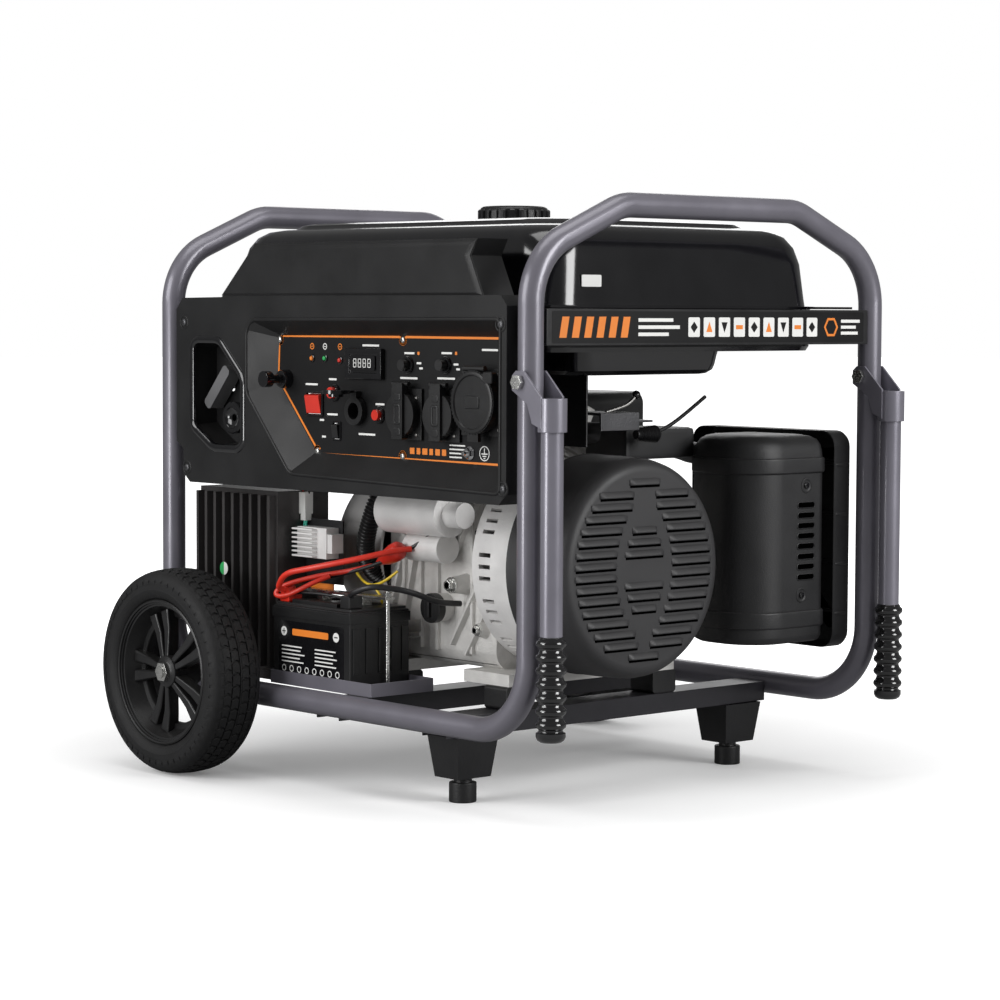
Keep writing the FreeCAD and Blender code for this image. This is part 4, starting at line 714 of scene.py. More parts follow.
for side, name in ((-1, "front"), (1, "rear")):
    body = "handle_" + name
    softened(body, "handle_paint", body, width=0.5)
    bm = bmesh.new()
    add_turned(bm, "Z", (GRIP_X, side * POST_Y, GRIP_LOW), grip_profile(), 40)
    piece("handle_grip_%s_rings" % name, bm, "grip_rubber", body, ("handle_grip_" + name,), angle=60)
print("grips", RINGS, "rings each")

# %% [markdown]
# ## Wheels
# A solid block-tread tyre on a moulded rim. The tyre body is turned from its section; the tread is one
# pitch of blocks, bent to the crown, and repeated round the axle by the `around_an_axle` tree. The rim
# is turned too, and its five pairs of spokes are one pair repeated.

# %% Tyre body
WHEEL_X, WHEEL_Z, WHEEL_Y, TYRE_R = -258, 141, 386, 141
TYRE_SECTION = [(25, 98.6), (31, 99.5), (36, 103), (39, 109), (39.2, 111), (40, 112.2), (40, 113.4),
                (39.6, 114.6),
                (40, 121), (39, 128), (36.5, 133), (32, 136.2), (25, 137.4), (12, 138.0), (1.2, 138.2),
                (0.9, 140.9)]


def whole_section(half):
    """A section drawn on one side of the wheel's middle, completed on the other side."""
    return half + [(-along, radius) for along, radius in reversed(half)]


def wheel_frame(side):
    return (WHEEL_X, side * WHEEL_Y, WHEEL_Z)


# %% Tread blocks
PITCHES = 54
PITCH = math.tau / PITCHES
CENTRE_BLOCK = [(0.06, 1.6), (0.90, 1.6), (1.02, 7.5), (0.86, 13.6), (0.02, 13.6), (0.18, 7.5)]
MIDDLE_BLOCK = [(0.10, 15.0), (0.93, 15.0), (1.06, 20.5), (0.96, 25.6), (0.14, 25.6), (0.26, 20.5)]


def crown(along):
    """Outer radius of the tread at a distance from the middle of the tyre."""
    return TYRE_R - 0.3 - 0.0019 * along * along - 0.0000022 * along ** 4


def on_tyre(turns, along, radius):
    a = turns * PITCH
    return (radius * math.cos(a), along, radius * math.sin(a))


def add_tread_block(bm, outline, flip, shift):
    middle = (sum(p[0] for p in outline) / len(outline), sum(p[1] for p in outline) / len(outline))
    rings = []
    for depth, shrink in ((3.6, 1.0), (0.7, 0.97), (0.0, 0.88)):
        ring = []
        for s, t in outline:
            s, t = middle[0] + (s - middle[0]) * shrink, middle[1] + (t - middle[1]) * shrink
            ring.append(on_tyre(s + shift, t * flip, crown(t) - depth))
        rings.append(ring)
    add_stack(bm, rings)


def add_shoulder_lug(bm, flip, shift, reach):
    rings = []
    for along, radius in ((27.0, 0.0), (33.0, 0.4), (37.4, 2.4), (reach, 6.0)):
        outer = crown(along) - radius
        low, high = 0.16 + shift, 0.88 + shift
        rings.append([on_tyre(low, along * flip, outer - 5), on_tyre(low, along * flip, outer - 0.8),
                      on_tyre(low + 0.06, along * flip, outer), on_tyre(high - 0.06, along * flip, outer),
                      on_tyre(high, along * flip, outer - 0.8), on_tyre(high, along * flip, outer - 5)])
    add_stack(bm, rings)


for side, name in ((-1, "front"), (1, "rear")):
    body = "wheel_" + name
    bm = bmesh.new()
    add_turned(bm, "Y", wheel_frame(side), whole_section(TYRE_SECTION), 108, closed=False, loop=True)
    piece("tyre_%s_body" % name, bm, "tyre_rubber", body, ("tyre_" + name,), angle=50)
    bm = bmesh.new()
    for flip, shift in ((1, 0.0), (-1, 0.5)):
        add_tread_block(bm, CENTRE_BLOCK, flip, shift)
        add_tread_block(bm, MIDDLE_BLOCK, flip, shift + 0.25)
        add_shoulder_lug(bm, flip, shift, 40.6)
    repeated("tyre_%s_tread" % name, bm, AROUND,
             {"Count": PITCHES, "Centre": metres(*wheel_frame(side))}, "tyre_rubber", body, angle=40)
    bm = bmesh.new()
    rings = []
    for i in range(7):
        a = math.radians(-13 + i * 26 / 6)
        rings.append([(r * math.cos(a), side * t, r * math.sin(a))
                      for r, t in ((121.6, 39.4), (121.9, 40.8), (123.1, 40.5), (123.4, 39.2))])
    add_stack(bm, rings)
    repeated("tyre_%s_arcs" % name, bm, AROUND, {"Count": 8, "Centre": metres(*wheel_frame(side))},
             "tyre_rubber", body)

# %% Rim and spokes
RIM_FACE = [(31, 100), (34, 99.4), (35.2, 97.6), (34.6, 95.8), (32.2, 95.2), (32.0, 93.4), (29.6, 92.8),
            (29.2, 90.4), (27.4, 89.6), (11, 82.5), (7.5, 80.5), (6.5, 74), (4, 72)]
HUB_FACE = [(27, 9.6), (27, 13.5), (25.5, 15), (24, 21), (21, 22.5)]
SPOKE_PAIRS = 5


def add_spoke(bm, side, lean):
    """One of a pair: it stands proud of the dish at its outer end and thins towards the hub."""
    rings = []
    for radius, offset, half, front, back in ((17, 4.6, 4.2, 23, 4), (34, 7.4, 5.0, 20.5, 3),
                                              (56, 10.4, 6.6, 17.5, 1), (76, 13.4, 8.2, 18.5, 0),
                                              (82.5, 14.2, 8.6, 18.5, 2)):
        middle = lean * offset
        rings.append([(middle + across * half, side * depth, radius)
                      for across, depth in ((-1, back), (-1, front - 1.6), (-0.72, front), (0.72, front),
                                            (1, front - 1.6), (1, back))])
    add_stack(bm, rings)


for side, name in ((-1, "front"), (1, "rear")):
    body = "wheel_" + name
    bm = bmesh.new()
    add_turned(bm, "Y", wheel_frame(side), whole_section(RIM_FACE), 96, closed=False, loop=True)
    add_turned(bm, "Y", wheel_frame(side), whole_section(HUB_FACE), 48, closed=False, loop=True)
    piece("wheel_%s_rim" % name, bm, "rim_plastic", body, (body,), angle=40)
    bm = bmesh.new()
    for lean in (-1, 1):
        add_spoke(bm, side, lean)
    repeated("wheel_%s_spokes" % name, bm, AROUND,
             {"Count": SPOKE_PAIRS, "Start": 0.942, "Centre": metres(*wheel_frame(side))},
             "rim_plastic", body, ease=0.5)
print("tread pitches", PITCHES, "spoke pairs", SPOKE_PAIRS)

# %% [markdown]
# ## Fuel tank
# A pressed steel tank sprayed gloss black. Pressing leaves big soft corners, a raised middle with a
# crease round it, and a rolled flange where the upper shell meets the pan. It is drawn as rings of
# rounded rectangles and shaded smooth, so the highlights run without a break.

# %% Tank
TANK_X, TANK_Y, FLANGE_Z = 335, 250, 640
TANK_RINGS = [(584, -6, 34), (584, 0, 40), (590, 4, 44), (612, 5, 46), (636, 5, 46), (FLANGE_Z, 6, 47),
              (FLANGE_Z, 11, 52), (FLANGE_Z + 3.4, 11, 52), (FLANGE_Z + 3.8, 1, 48), (652, 0, 48),
              (700, -4, 50), (722, -9, 52), (736, -17, 54), (744, -28, 56), (747, -42, 58), (746.5, -50, 60),
              (748.5, -54, 60), (753, -58, 62), (755.4, -66, 64), (756, -90, 60), (756.4, -150, 50)]


def ring_at(z, grow, radius, centre=(0, 0), half=(TANK_X, TANK_Y), steps=6):
    shape = rounded((half[0] + grow) * 2, (half[1] + grow) * 2, radius, steps, centre)
    return [(x, y, z) for x, y in shape]


bm = bmesh.new()
add_stack(bm, [ring_at(*ring) for ring in TANK_RINGS])
add_stack(bm, [ring_at(z, grow, 30, (28, -62.5), (303, 132.5)) for z, grow in
               ((554, -14), (555, -8), (560, -2), (566, 0), (590, 4))])
for sign_x in (-1, 1):
    for sign_y in (-1, 1):
        add_block(bm, sorted((sign_x * (TANK_X - 60), sign_x * 370.5)), sorted((sign_y * 205, sign_y * 279)),
                  (FLANGE_Z, FLANGE_Z + 3))
piece("fuel_tank_shell", bm, "tank_gloss", "root", ("fuel_tank",), angle=28)

# %% Cap
CAP_X, CAP_R, CAP_LOW = -5, 50, 757
bm = bmesh.new()
add_turned(bm, "Z", (CAP_X, 0, CAP_LOW), [(0, 36), (0, 46), (1, 47.2), (17, 46.6), (18, 47), (20.5, 46),
                                          (22.4, 43), (23, 39), (21.6, 37), (21.4, 14), (22.4, 12),
                                          (22.6, 6)], 96)
piece("fuel_cap_body", bm, "dark_plastic", "fuel_cap", ("fuel_cap",), angle=40)
bm = bmesh.new()
add_stack(bm, [[(x, y, z) for x, y in ((46.0, -4.6), (CAP_R, -3.4), (CAP_R + 0.2, 0), (CAP_R, 3.4),
                                       (46.0, 4.6))]
               for z in (0.6, 16.6)] + [[(45.5, -3.8, 18.6), (48.4, -2.6, 18.4), (48.6, 0, 18.4),
                                         (48.4, 2.6, 18.4),
                                         (45.5, 3.8, 18.6)]])
repeated("fuel_cap_flutes", bm, AROUND, {"Count": 24, "Axle": (0, 0, 1), "Centre": metres(CAP_X, 0, CAP_LOW)},
         "dark_plastic", "fuel_cap")
bm = bmesh.new()
add_turned(bm, "Z", (CAP_X, 0, 750), [(0, 38), (0, 62), (2.2, 61), (6.4, 57), (7.0, 52), (7.2, 38)], 64)
piece("fuel_cap_collar", bm, "tank_gloss", angle=50)

# %% [markdown]
# ## Front housing
# The housing is one black moulding: a raised cowl over the tank's front, a sunken mouth for the
# controls and a window for the pull handle. The CAD body is shown as it is, in its own slots.
# Screws, the bezel round the window and the flat pull handle are separate pieces.

# %% Housing, screws and window bezel
HOUSING_Y, PLATE_Y = -331, -308
keep("panel_housing", "housing_plastic")


def screw_head(radius):
    """A pan-head screw with a cross recess, drawn facing -Y."""
    bm = bmesh.new()
    add_turned(bm, "Y", (0, 0, 0), [(0.6, radius), (-0.6, radius), (-1.6, radius * 0.86),
                                    (-2.2, radius * 0.55), (-2.3, 0.4)], 16)
    for angle in (45, 135):
        turned = Matrix.Rotation(math.radians(angle), 4, "Y")
        add_block(bm, (-radius * 0.5, radius * 0.5), (-2.6, -2.1), (-radius * 0.1, radius * 0.1), turned)
    return bm


HOUSING_SCREWS = [(-323, 618), (337, 619), (-316.5, 416), (342, 417)]
UNIT = (1, 1, 1)
on_spots("housing_screws", screw_head(5.2), [((x, HOUSING_Y, z), (0, 0, 0), UNIT) for x, z in HOUSING_SCREWS],
         "dark_steel", angle=40)
bm = bmesh.new()
for x, z in HOUSING_SCREWS:
    add_turned(bm, "Y", (x, HOUSING_Y, z), [(0.4, 7.0), (-0.7, 7.6), (-1.1, 8.4), (-0.9, 9.4), (0.2, 10.4)], 32,
               closed=False)
piece("housing_screw_seats", bm, "housing_plastic", angle=60)

WINDOW = [(-301, 476), (-301, 585), (-292, 591), (-243, 591), (-191, 542), (-191, 456), (-200, 449),
          (-255, 449)]
bm = bmesh.new()
edge = soft_corners(WINDOW, 9)
rings = []
for grow, lift in ((9.5, 0.5), (8.5, -1.2), (5.5, -2.6), (1.5, -2.6), (-1.2, -1.0), (-2.2, 2.5)):
    rings.append([(x, HOUSING_Y + lift, z) for x, z in grown(edge, grow)])
add_stack(bm, rings, closed=False)
piece("window_bezel", bm, "gloss_plastic", angle=40)

# %% Pull handle and its cup
softened("recoil_handle", "grey_bar", "recoil_handle", width=1.0)
bm = bmesh.new()
add_turned(bm, "Y", (-219, HOUSING_Y, 488), [(34, 21), (6, 22), (4.5, 20.5), (4.5, 15), (7, 13.5), (9, 9),
                                             (9.2, 5), (34, 4)], 48, closed=False)
piece("rope_guide_cup", bm, "gloss_plastic", angle=40)

# %% [markdown]
# ## Cowl details
# The cowl is a raised field with sloping edges that ends in a notched cheek on the right, and a rolled
# lip runs round the mouth. They are thin mouldings laid on the housing's face.

# %% Cowl mouldings
COWL = [(-235, 655), (-161, 723), (292, 723), (280, 704), (304, 655)]
FIELD = [(-227, 658), (-157, 716), (281, 716), (271, 703), (293, 658)]
bm = bmesh.new()
add_stack(bm, [[(x, HOUSING_Y + lift, z) for x, z in outline] for outline, lift in
               ((COWL, 0.4), (COWL, -0.6), (FIELD, -3.4))])
piece("cowl_face", bm, "housing_plastic", ease=0.5, angle=20)
bm = bmesh.new()
lip = soft_corners(grown([(-177, 524), (-177, 608), (-166, 620), (334, 623), (334, 413), (-83, 420)], 0), 8)
add_stack(bm, [[(x, HOUSING_Y + d, z) for x, z in grown(lip, g)]
               for d, g in ((0.3, 5.5), (-1.6, 4.2), (-2.0, 2.4), (-1.4, 0.6), (0.6, -0.4))], closed=False)
piece("mouth_lip", bm, "housing_plastic", angle=60)
print("housing pieces ready")

# %% [markdown]
# ## Control plate
# A black film-covered plate behind the mouth. One orange line runs round the whole plate, with a
# small loop round each of its screws. All lettering of the real plate is left out: short plain dashes
# and simple signs take its place, so that the plate keeps its rhythm without any words or marks.

# %% Plate and orange lines
keep("control_plate", "plate_film")
FILM = PLATE_Y - 0.35


def add_line(bm, points, width=2.6, lift=0.0):
    """A printed line that follows points on the plate."""
    for start, end in zip(points, points[1:]):
        a, b = Vector(start), Vector(end)
        side = Vector((a.y - b.y, b.x - a.x)).normalized() * width / 2
        along = (b - a).normalized() * width / 2
        corners = [a + side - along, a - side - along, b - side + along, b + side + along]
        add_plate(bm, [tuple(c) for c in corners], "Y", FILM + 0.3, FILM - 0.12 - lift)


def arc(centre, radius, start, end, steps=10):
    return [(centre[0] + radius * math.cos(math.radians(start + (end - start) * i / steps)),
             centre[1] + radius * math.sin(math.radians(start + (end - start) * i / steps)))
            for i in range(steps + 1)]


BORDER_SCREWS = [(-134, 596), (124, 598), (-52.5, 448.4), (124, 448.3), (319, 456)]
PRINT = {name: bmesh.new() for name in ("orange", "white", "green", "red")}
BORDER = [((-137, 543), (-135, 588)), ((-126, 601), (116, 601.6)), ((132, 601.6), (319.5, 601.6)),
          ((319.5, 601.6), (319.5, 464)), ((311, 444.8), (132, 444.8)), ((116, 444.8), (-44.5, 444.8)),
          ((-58, 456), (-137, 543))]
for a, b in BORDER:
    add_line(PRINT["orange"], [a, b], 3.0)
LOOP_ARCS = [(-100, 60), (150, 390), (35, 205), (-30, 210), (110, 250)]
for (x, z), (start, end) in zip(BORDER_SCREWS, LOOP_ARCS):
    add_line(PRINT["orange"], arc((x, z), 6.2, start, end), 2.4)
on_spots("plate_screws", screw_head(4.4), [((x, PLATE_Y - 0.3, z), (0, 0, 0), UNIT)
                                            for x, z in BORDER_SCREWS],
         "zinc_plate", angle=40)

# %% Signs and dashes
def add_dash(bm, x, z, wide, tall=2.6):
    add_plate(bm, rounded(wide, tall, 0.6, 2, (x, z)), "Y", FILM + 0.3, FILM - 0.1)


DASHES = [(137, 581, 20), (210, 582, 20), (136, 549, 34), (209, 550, 34), (292, 587, 30), (59, 590, 34),
          (-65, 537, 26), (-20, 544.5, 16), (-20.6, 498, 22), (51.5, 474, 34), (78, 514, 18),
          (156, 568.5, 9), (160, 562, 7), (228, 568, 9), (232, 562, 7), (-43, 490, 9), (-38.6, 468, 8),
          (74, 505, 9), (74, 497, 7)]
for x, z, wide in DASHES:
    add_dash(PRINT["white"], x, z, wide)
for z, wide in ((466, 30), (461, 36), (456, 33), (451, 24)):
    add_dash(PRINT["white"], 216 + wide / 2, z, wide, 1.8)
for index, wide in enumerate((9, 7, 10, 7, 9, 8)):
    add_dash(PRINT["orange"], 143 + index * 12.5, 456, wide, 8)
for x, z in ((155, 581), (228, 582), (94, 514)):
    add_dash(PRINT["orange"], x, z, 4, 4)
for x, finish in ((-64, "orange"), (-4.8, "orange"), (-36.6, "white")):
    add_frame(PRINT[finish], arc((x, 587.6), 4.4, 0, 330, 11), 1.2, "Y", FILM + 0.3, FILM - 0.12)
    add_dash(PRINT[finish], x, 587.6, 3.4, 1.2)
EARTH_SIGN = (282.6, 457.8)
add_frame(PRINT["white"], arc(EARTH_SIGN, 9.5, 0, 345, 23), 1.2, "Y", FILM + 0.3, FILM - 0.12)
for half, drop in ((5.6, -0.5), (3.7, -3.4), (1.8, -6.0)):
    add_dash(PRINT["white"], EARTH_SIGN[0], EARTH_SIGN[1] + drop, half * 2, 1.3)
add_line(PRINT["white"], [(EARTH_SIGN[0], EARTH_SIGN[1]), (EARTH_SIGN[0], EARTH_SIGN[1] + 6)], 1.4)

# %% Indicator lamps and meter
LAMPS = [(-64, 571.6, "orange"), (-36.6, 572, "green"), (-4.8, 569.8, "red")]
bm = bmesh.new()
for x, z, finish in LAMPS:
    add_turned(PRINT[finish], "Y", (x, FILM, z), [(0.5, 3.1), (-1.5, 3.1), (-2.6, 2.4), (-3.1, 0.8)], 20)
    add_turned(bm, "Y", (x, FILM, z), [(0.5, 5.4), (-1.0, 5.2), (-1.3, 4.0), (-0.4, 3.3)], 28, closed=False)
piece("lamp_rings", bm, "gloss_plastic", angle=50)
softened("display", "gloss_plastic", width=1.2)
display_low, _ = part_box("display")
GLASS_Y = display_low.y / MM - 0.25
bm = bmesh.new()
add_plate(bm, rounded(52, 19, 2.5, 4, (49, 567)), "Y", GLASS_Y + 0.6, GLASS_Y)
piece("meter_window", bm, "gloss_plastic")
SEGMENTS = [((-2.2, 5.2), (2.2, 5.2)), ((-2.2, 0), (2.2, 0)), ((-2.2, -5.2), (2.2, -5.2)),
            ((-2.7, 4.7), (-2.7, 0.5)), ((2.7, 4.7), (2.7, 0.5)), ((-2.7, -0.5), (-2.7, -4.7)),
            ((2.7, -0.5), (2.7, -4.7))]
bm = bmesh.new()
for a, b in SEGMENTS:
    low, high = (min(a[0], b[0]) - 0.5, max(a[0], b[0]) + 0.5), (min(a[1], b[1]) - 0.5, max(a[1], b[1]) + 0.5)
    add_block(bm, low, (-0.15, 0.2), high)
repeated("meter_digits", bm, ROWS, {"Columns": 4, "Step": (0.0098, 0, 0)}, "white_print")
digits = bpy.data.objects["meter_digits"]
digits.data.transform(Matrix.Translation(metres(34.5, GLASS_Y, 567)))

# %% Print pieces
for name, bm in PRINT.items():
    finish = "red_plastic" if name == "red" else name + "_print"
    piece("plate_print_" + name, bm, finish, angle=40)

# %% [markdown]
# ## Switches, breakers and knob
# Each moves on its own CAD body. Their mouldings keep the CAD size, with eased corners, and get the
# collars and bezels that sit round them.

# %% Rockers, buttons and knob
softened("engine_rocker", "red_plastic", "engine_rocker", width=0.9)
softened("eco_rocker", "dark_plastic", "eco_rocker", width=0.7)
softened("reset_button", "red_plastic", "reset_button", width=1.0)
softened("dc_breaker_button", "red_plastic", "dc_breaker_button", width=1.0)
for side in ("left", "right"):
    softened("ac_breaker_" + side, "dark_plastic", "ac_breaker_" + side, width=1.0)
softened("choke_knob", "gloss_plastic", "choke_knob", width=1.2)


def add_collar(bm, x, z, outer, inner, height):
    add_turned(bm, "Y", (x, PLATE_Y, z), [(0.5, outer), (-height * 0.5, outer), (-height, outer - 1.2),
                                          (-height, inner + 0.6), (0.5, inner)], 40, closed=False)


knob_low, knob_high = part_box("choke_knob")
KNOB = ((knob_low.x + knob_high.x) / 2 / MM - MID, (knob_low.z + knob_high.z) / 2 / MM)
bm = bmesh.new()
add_turned(bm, "Y", (KNOB[0], -318, KNOB[1]), [(12, 13), (0, 12.5), (-2.4, 11.2), (-2.8, 9), (-2.6, 6),
                                               (6, 5.6)],
           40, closed=False)
piece("choke_collar", bm, "gloss_plastic", angle=40)
print("choke knob", [round(v, 1) for v in KNOB], round(knob_low.y / MM, 1), round(knob_high.y / MM, 1))
bm = bmesh.new()
for name in ("reset_button", "dc_breaker_button", "ac_breaker_left", "ac_breaker_right"):
    low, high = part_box(name)
    x, z = (low.x + high.x) / 2 / MM - MID, (low.z + high.z) / 2 / MM
    reach = (high.x - low.x) / 2 / MM
    add_collar(bm, x, z, reach + 4.5, reach + 0.4, 3.6)
piece("button_collars", bm, "gloss_plastic", angle=40)
bm = bmesh.new()
for name, margin, height in (("engine_rocker", 3.2, 3.0), ("eco_rocker", 2.4, 2.2)):
    low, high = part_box(name)
    centre = ((low.x + high.x) / 2 / MM - MID, (low.z + high.z) / 2 / MM)
    wide, tall = (high.x - low.x) / MM + 0.8, (high.z - low.z) / MM + 0.8
    outer = rounded(wide + margin * 2, tall + margin * 2, 2.4, 4, centre)
    inner = rounded(wide, tall, 1.2, 4, centre)
    rings = [[(x, PLATE_Y + d, z) for x, z in edge] for edge, d in
             ((outer, 0.4), (outer, -height + 0.8), (grown(outer, -0.8), -height),
              (grown(inner, 0.6), -height),
              (inner, -height + 0.8), (inner, 0.4))]
    add_stack(bm, rings, closed=False)
piece("rocker_bezels", bm, "gloss_plastic", angle=40)

# %% [markdown]
# ## Outlets
# The flaps and rings are black mouldings. The small outlets have a round lid crossed by a wide finger
# bar, the large one a round lid with a small raised patch and a ring of fine teeth to grip.

# %% Sockets and flaps
OUTLET_Z, LID_FACE = 503, -322
for name in ("outlet_left", "outlet_right", "outlet_large", "dc_socket"):
    softened(name, "dark_plastic", width=0.8)
softened("dc_socket_lid", "gloss_plastic", "dc_socket_lid", width=0.9)
for side, x in (("left", 135), ("right", 209)):
    body = "outlet_%s_flap" % side
    softened(body, "dark_plastic", body, width=1.2)
    low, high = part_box(body)
    face, bar_face = LID_FACE, low.y / MM
    bm = bmesh.new()
    add_turned(bm, "Y", (x, face, OUTLET_Z), [(0.8, 27.4), (-0.8, 27.2), (-1.7, 26.2), (-1.7, 24.2),
                                              (-0.6, 23.4), (0.8, 23.0)], 56, closed=False)
    for height, grow in ((OUTLET_Z + 22, 0), (OUTLET_Z - 22, 0)):
        add_stack(bm, [[(x2, bar_face + d, z2) for x2, z2 in grown(rounded(13, 9, 2.5, 3, (x, height)), g)]
                       for d, g in ((0.5, 0.4), (-0.6, 0), (-1.0, -0.8))])
    add_stack(bm, [[(x2, bar_face + d, z2) for x2, z2 in grown(rounded(12, 25, 3, 3, (x, OUTLET_Z)), g)]
                   for d, g in ((0.5, 1.6), (-0.8, 0.8), (-1.3, -0.6), (-0.9, -2.0), (0.3, -2.8))],
              closed=False)
    piece("outlet_%s_flap_details" % side, bm, "dark_plastic", body, angle=40)
softened("outlet_large_flap", "dark_plastic", "outlet_large_flap", width=1.4)
LID_X, LID_Z, LID_Y = 281, 522, -328
bm = bmesh.new()
add_turned(bm, "Y", (LID_X, LID_Y, LID_Z), [(0.5, 38.8), (-1.2, 38.6), (-2.0, 37.4), (-2.0, 34.2),
                                            (-1.1, 33.2),
                                            (0.5, 32.8)], 64, closed=False)
add_stack(bm, [[(x, LID_Y + d, z) for x, z in grown(rounded(26, 15, 3, 4, (LID_X, LID_Z)), g)]
               for d, g in ((0.5, 1.0), (-1.0, 0.4), (-1.6, -0.6))])
add_stack(bm, [[(x, LID_Y + d, z) for x, z in grown(rounded(18, 15, 4, 4, (LID_X + 30, LID_Z + 31)), g)]
               for d, g in ((6, 0), (-1.4, 0), (-2.4, -1.0))])
piece("outlet_large_rings", bm, "dark_plastic", "outlet_large_flap", angle=40)
bm = bmesh.new()
add_block(bm, (37.2, 40.2), (-0.8, 8.5), (-1.0, 1.0))
repeated("outlet_large_teeth", bm, AROUND, {"Count": 48, "Centre": metres(LID_X, LID_Y, LID_Z)},
         "dark_plastic", "outlet_large_flap")
OUTLET_SCREWS = [(156, 524), (156, 477), (230, 524), (230, 478), (113, 530), (187, 530), (314, 557),
                 (314, 488), (247, 488)]
on_spots("outlet_screws", screw_head(2.6), [((x, PLATE_Y - 3.8, z), (0, 0, 0), UNIT)
                                             for x, z in OUTLET_SCREWS],
         "dull_steel", angle=40)

# %% Earth terminal
bm = bmesh.new()
EARTH = (255, 457.3)
add_turned(bm, "Y", (EARTH[0], PLATE_Y, EARTH[1]), [(0.5, 8.6), (-1.2, 8.6), (-1.3, 5.2)], 32)
add_turned(bm, "Y", (EARTH[0], PLATE_Y, EARTH[1]), [(-1.2, 6.9), (-6.2, 6.9), (-7.0, 6.2)], 6)
add_turned(bm, "Y", (EARTH[0], PLATE_Y, EARTH[1]), [(-6, 3.0), (-12.2, 3.0), (-13, 2.2)], 20)
piece("earth_terminal", bm, "chrome", angle=35)
print("control plate ready")

# %% [markdown]
# ## Alternator end cover
# A drawn sheet cover, powder-coated grey, with rows of pressed louvres. The shell is turned; one louvre
# hood is drawn once, with a sloping back and soft ends, and the `on_spots` tree puts a copy at each
# place, scaled to the width it has there. A black strip under each hood is painted shade that stands for the
# dark slit behind it.

# %% Cover shell
CRANK_Y, CRANK_Z, COVER_R, COVER_BACK, COVER_FACE = -72, 303, 146, 223, 330
bm = bmesh.new()
add_turned(bm, "X", (0, CRANK_Y, CRANK_Z), [
    (COVER_BACK, COVER_R - 4), (COVER_BACK, COVER_R), (COVER_BACK + 3, COVER_R),
                                            (COVER_BACK + 4, COVER_R - 0.8),
    (COVER_BACK + 62, COVER_R - 1.2), (COVER_BACK + 84, COVER_R - 2.4), (COVER_BACK + 95, COVER_R - 5),
    (COVER_BACK + 101.5, COVER_R - 9), (COVER_BACK + 104.6, COVER_R - 14), (COVER_FACE - 1.6, COVER_R - 20),
    (COVER_FACE - 1.2, 70), (COVER_FACE - 1.0, 12), (COVER_FACE - 6, 12), (COVER_FACE - 6, COVER_R - 20),
    (COVER_BACK + 90, COVER_R - 9)], 128, closed=False, loop=True)
add_turned(bm, "X", (0, CRANK_Y, CRANK_Z), [(COVER_FACE - 6, 12.2), (COVER_FACE - 1.0, 12.2)], 24)
piece("alternator_cover_shell", bm, "cover_grey", "root", ("alternator_cover",), angle=40)

# %% Louvres
HOOD_ROWS, HOOD_PITCH, HOOD_TOP = 14, 15.0, 94
hoods = []
for row in range(HOOD_ROWS):
    rise = HOOD_TOP - row * HOOD_PITCH
    outer = math.sqrt(124 ** 2 - rise ** 2)
    wide = 62 if row in (0, HOOD_ROWS - 1) else 75
    for sign in (-1, 1):
        hoods.append((sign * (outer - wide / 2), rise, wide))
for sign in (-1, 1):
    hoods += [(0, -3.5 + sign * reach, wide) for reach, wide in ((20.5, 72), (35.5, 62), (51, 46))]
    hoods.append((0, -3.5 + sign * 113, 56))
bm = bmesh.new()
PROFILE = [(9.0, -0.6), (8.6, 0.3), (6.2, 2.2), (3.2, 3.9), (1.3, 4.4), (0.2, 4.1), (0.0, 2.8), (0.4, -0.6)]
rings = []
for along, lift in ((-0.5, 0.02), (-0.47, 0.35), (-0.42, 0.75), (-0.36, 1.0), (0.36, 1.0), (0.42, 0.75),
                    (0.47, 0.35), (0.5, 0.02)):
    drop = (1 - lift) * 1.6
    rings.append([(out * lift if out > 0 else out, along * 100,
                   up - drop if up > 5 else up) for up, out in PROFILE])
add_stack(bm, rings)
on_spots("cover_louvres", bm, [((COVER_FACE - 1.2, CRANK_Y + y, CRANK_Z + z), (0, 0, 0), (1, wide / 100, 1))
                               for y, z, wide in hoods], "cover_grey", angle=50)
# Painted shade: a black strip under each hood stands for the dark slit behind it.
bm = bmesh.new()
add_block(bm, (-0.3, 0.6), (-47, 47), (-3.2, 1.0))
on_spots("cover_slits", bm, [((COVER_FACE - 1.2, CRANK_Y + y, CRANK_Z + z), (0, 0, 0), (1, wide / 100, 1))
                             for y, z, wide in hoods], "painted_shade_black")
print("louvres", len(hoods))

# %% [markdown]
# ## Engine castings
# The crankcase, bell and starter are raw aluminium castings. They keep their CAD shape with eased
# edges; ribs, bosses and washered bolts are added where the casting carries them.

# %% Castings
softened("crankcase", "cast_aluminium", width=2.6, angle=28)
softened("bell_housing", "smooth_cast", width=1.4, angle=30)
softened("cylinder_head", "cast_aluminium", width=0.9)
softened("recoil_starter", "smooth_cast", width=2.0, angle=28)
softened("starter_motor", "smooth_cast", width=2.0, angle=28)
softened("engine_mounts", "foot_rubber", width=1.0)
softened("stator", "dull_steel", width=0.6)
softened("rotor_shaft", "dull_steel", "rotor_shaft", width=0.6)
softened("air_cleaner", "dark_plastic", width=2.2)
softened("inverter_module", "module_plastic", width=1.4)
softened("oil_plug", "dark_plastic", "oil_plug", width=1.0)
CASE_FRONT = -166
bm = bmesh.new()
RIBS = [((-60, 236), (-36, 322)), ((-34, 226), (-8, 330)), ((62, 190), (132, 300)), ((92, 178), (140, 252)),
        ((104, 300), (140, 372)), ((70, 318), (112, 384)), ((-66, 188), (0, 198))]
